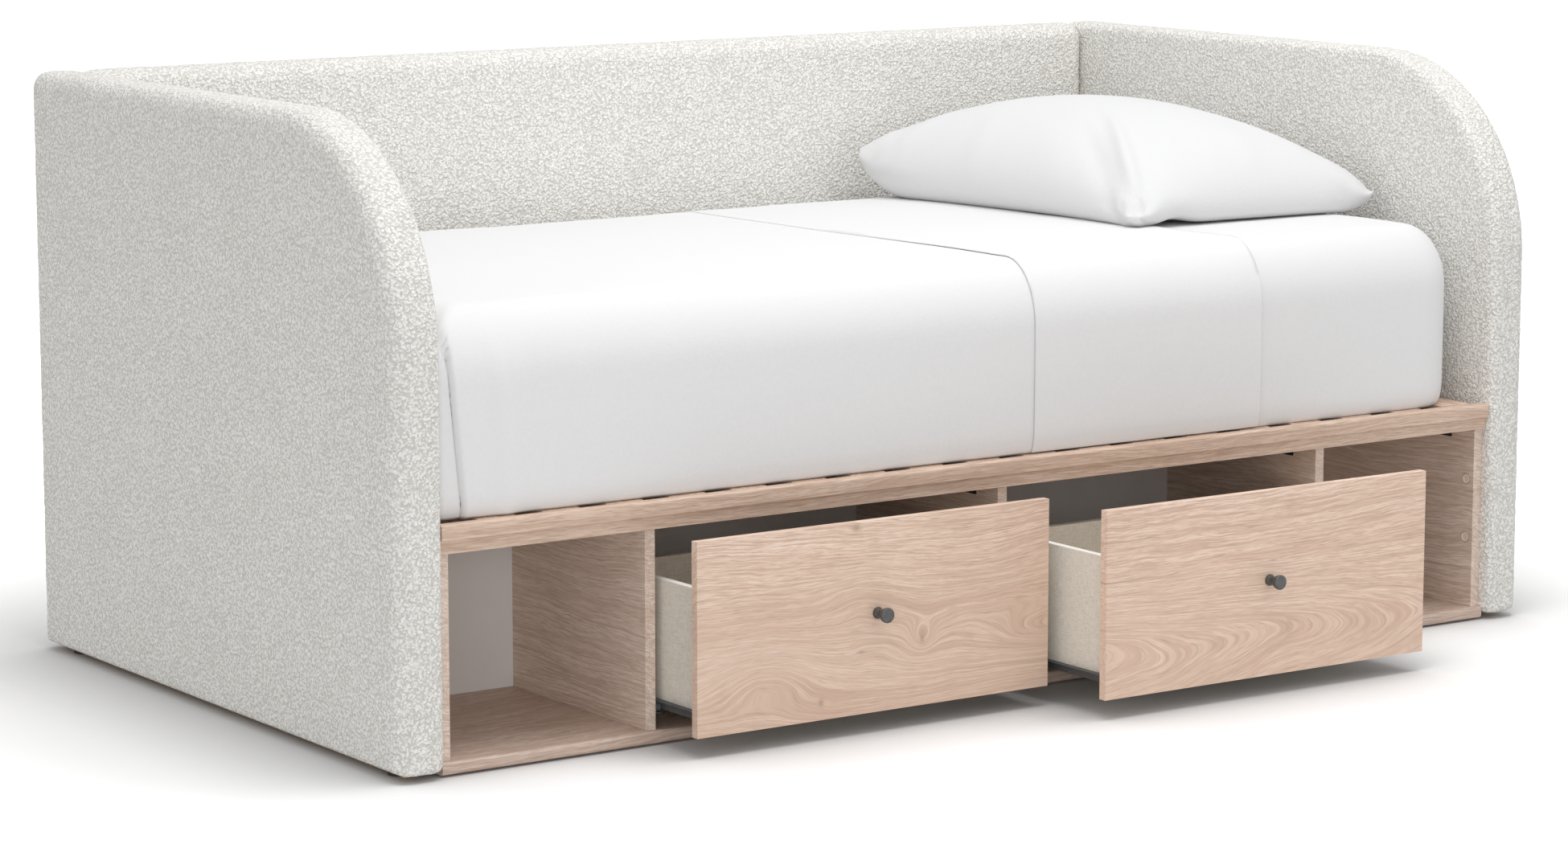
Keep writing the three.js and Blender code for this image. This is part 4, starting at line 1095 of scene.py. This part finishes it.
def bracket(name, corner, away):
    """An angle bracket in the corner below the top strip, one leg on the upright and one under the strip."""
    x, y, z = corner
    profile = [(0, 0), (BRACKET_LEG, 0), (BRACKET_LEG, -BRACKET_METAL), (BRACKET_METAL, -BRACKET_METAL),
               (BRACKET_METAL, -BRACKET_LEG), (0, -BRACKET_LEG)]
    near = [(x + away * a, y, z + b) for a, b in profile]
    far = [(x + away * a, y + BRACKET_WIDTH, z + b) for a, b in profile]
    count = len(profile)
    faces = [list(range(count)), [2 * count - 1 - i for i in range(count)]]
    faces += [[i, count + i, count + (i + 1) % count, (i + 1) % count] for i in range(count)]
    mesh = mesh_from(name, near + far, faces)
    work = bmesh.new()
    work.from_mesh(mesh)
    bmesh.ops.recalc_face_normals(work, faces=work.faces[:])
    work.to_mesh(mesh)
    work.free()
    made = add_object(name, mesh, BLACK_STEEL, smooth=False)
    round_edges(made, "edges", PRESSED_EDGE)
    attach(made, "root")
    place = (x + away * BRACKET_METAL, y + BRACKET_WIDTH / 2, z - BRACKET_LEG * SCREW_DOWN)
    screw = lathe(f"{name}_screw", SCREW_PROFILE, place, (away, 0, 0), RUNNER, sides=20)
    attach(screw, "root")


def make_brackets():
    under = strip_low.z - BRACKET_GAP
    for name, node, away in (
        ("centre_left", "divider_centre", -1), ("right", "divider_right", -1),
        ("end_right", "end_panel_right", -1), ("centre_right", "divider_centre", 1),
        ("left", "divider_left", 1), ("end_left", "end_panel_left", 1),
    ):
        low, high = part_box(node)
        face_x = low.x - BRACKET_GAP if away < 0 else high.x + BRACKET_GAP
        bracket(f"bracket_{name}", (face_x, low.y + BRACKET_SETBACK, under), away)


make_knobs()
make_cam_caps()
make_brackets()


# Floor, sky and lamps

LAMP_AIM = (0.0, -0.05, 0.5)
# Lamps: place, power in W, and the two sizes
LAMPS = (("key", (0.1, -0.8, 3.4), 51.5, (2.8, 1.6)), ("fill", (-4.25, -6.5, 1.3), 64, (3.0, 2.0)))
SKY_STRENGTH = 0.74
WHITE = (1, 1, 1)
# The seen floor fades to white between these distances, and near the part an occlusion term darkens it as a
# painted contact shadow
FLOOR_HALF = 60
FLOOR_NEAR, FLOOR_FAR = 1.08, 1.8
FADE_FROM, FADE_TO = 1.3, 2.4
CONTACT_REACH, CONTACT_OPEN, CONTACT_SHADE_TONE = 0.25, 0.5, 0.62
FLOOR_LIT = 0.72


def by_ray(tree, unseen, seen, *others):
    """Shows seen to the camera and to the other kinds of rays, and unseen to the rest."""
    path = add_node(tree, "ShaderNodeLightPath").outputs
    shown = path["Is Camera Ray"]
    for kind in others:
        shown = add_node(tree, "ShaderNodeMath", {0: shown, 1: path[kind]}, operation="MAXIMUM").outputs[0]
    inputs = {0: shown, 1: unseen.outputs[0], 2: seen.outputs[0]}
    return add_node(tree, "ShaderNodeMixShader", inputs).outputs[0]


def make_floor():
    corners = [(x * FLOOR_HALF, y * FLOOR_HALF, 0) for x, y in ((-1, -1), (1, -1), (1, 1), (-1, 1))]
    mesh = mesh_from("floor", corners, [[0, 1, 2, 3]])
    material = bpy.data.materials.new("floor")
    tree = empty_tree(material)

    def ranged(value, low, high, to_low, to_high):
        inputs = {"Value": value, "From Min": low, "From Max": high, "To Min": to_low, "To Max": to_high}
        return add_node(tree, "ShaderNodeMapRange", inputs).outputs[0]

    place = add_node(tree, "ShaderNodeTexCoord").outputs["Object"]
    away = add_node(tree, "ShaderNodeVectorMath", {0: place}, operation="LENGTH").outputs["Value"]
    # Occlusion darkens the seen floor near the part: a painted contact shadow on top of the lamps' own
    # shadows
    contact = add_node(tree, "ShaderNodeAmbientOcclusion", {"Distance": CONTACT_REACH}).outputs["AO"]
    painted_contact_shade = ranged(contact, CONTACT_OPEN, 1.0, CONTACT_SHADE_TONE, 1.0)
    fade = ranged(away, FADE_FROM, FADE_TO, FLOOR_NEAR, FLOOR_FAR)
    shade = add_node(tree, "ShaderNodeMath", {0: painted_contact_shade, 1: fade}, operation="MULTIPLY").outputs[0]
    seen = add_node(tree, "ShaderNodeBsdfDiffuse", {"Color": shade})
    lit = add_node(tree, "ShaderNodeBsdfDiffuse", {"Color": (FLOOR_LIT, FLOOR_LIT, FLOOR_LIT)})
    add_node(tree, "ShaderNodeOutputMaterial", {"Surface": by_ray(tree, lit, seen, "Is Glossy Ray")})
    add_object("floor", mesh, material, smooth=False)


def make_sky():
    world = bpy.data.worlds.new("studio")
    bpy.context.scene.world = world
    tree = empty_tree(world)
    soft = add_node(tree, "ShaderNodeBackground", {"Color": WHITE, "Strength": SKY_STRENGTH})
    white = add_node(tree, "ShaderNodeBackground", {"Color": WHITE, "Strength": 1.0})
    shown = by_ray(tree, soft, white, "Is Glossy Ray", "Is Transmission Ray")
    add_node(tree, "ShaderNodeOutputWorld", {"Surface": shown})


def make_lamps():
    for name, place, power, (wide, high) in LAMPS:
        data = bpy.data.lights.new(name, "AREA")
        data.energy = power
        data.shape = "RECTANGLE"
        data.size, data.size_y = wide, high
        lamp = bpy.data.objects.new(name, data)
        lamp.location = place
        lamp.rotation_mode = "QUATERNION"
        lamp.rotation_quaternion = (Vector(LAMP_AIM) - Vector(place)).to_track_quat("-Z", "Y")
        lamp.visible_camera = False
        bpy.context.scene.collection.objects.link(lamp)


make_floor()
make_sky()
make_lamps()
bpy.context.scene.view_settings.view_transform = "Standard"
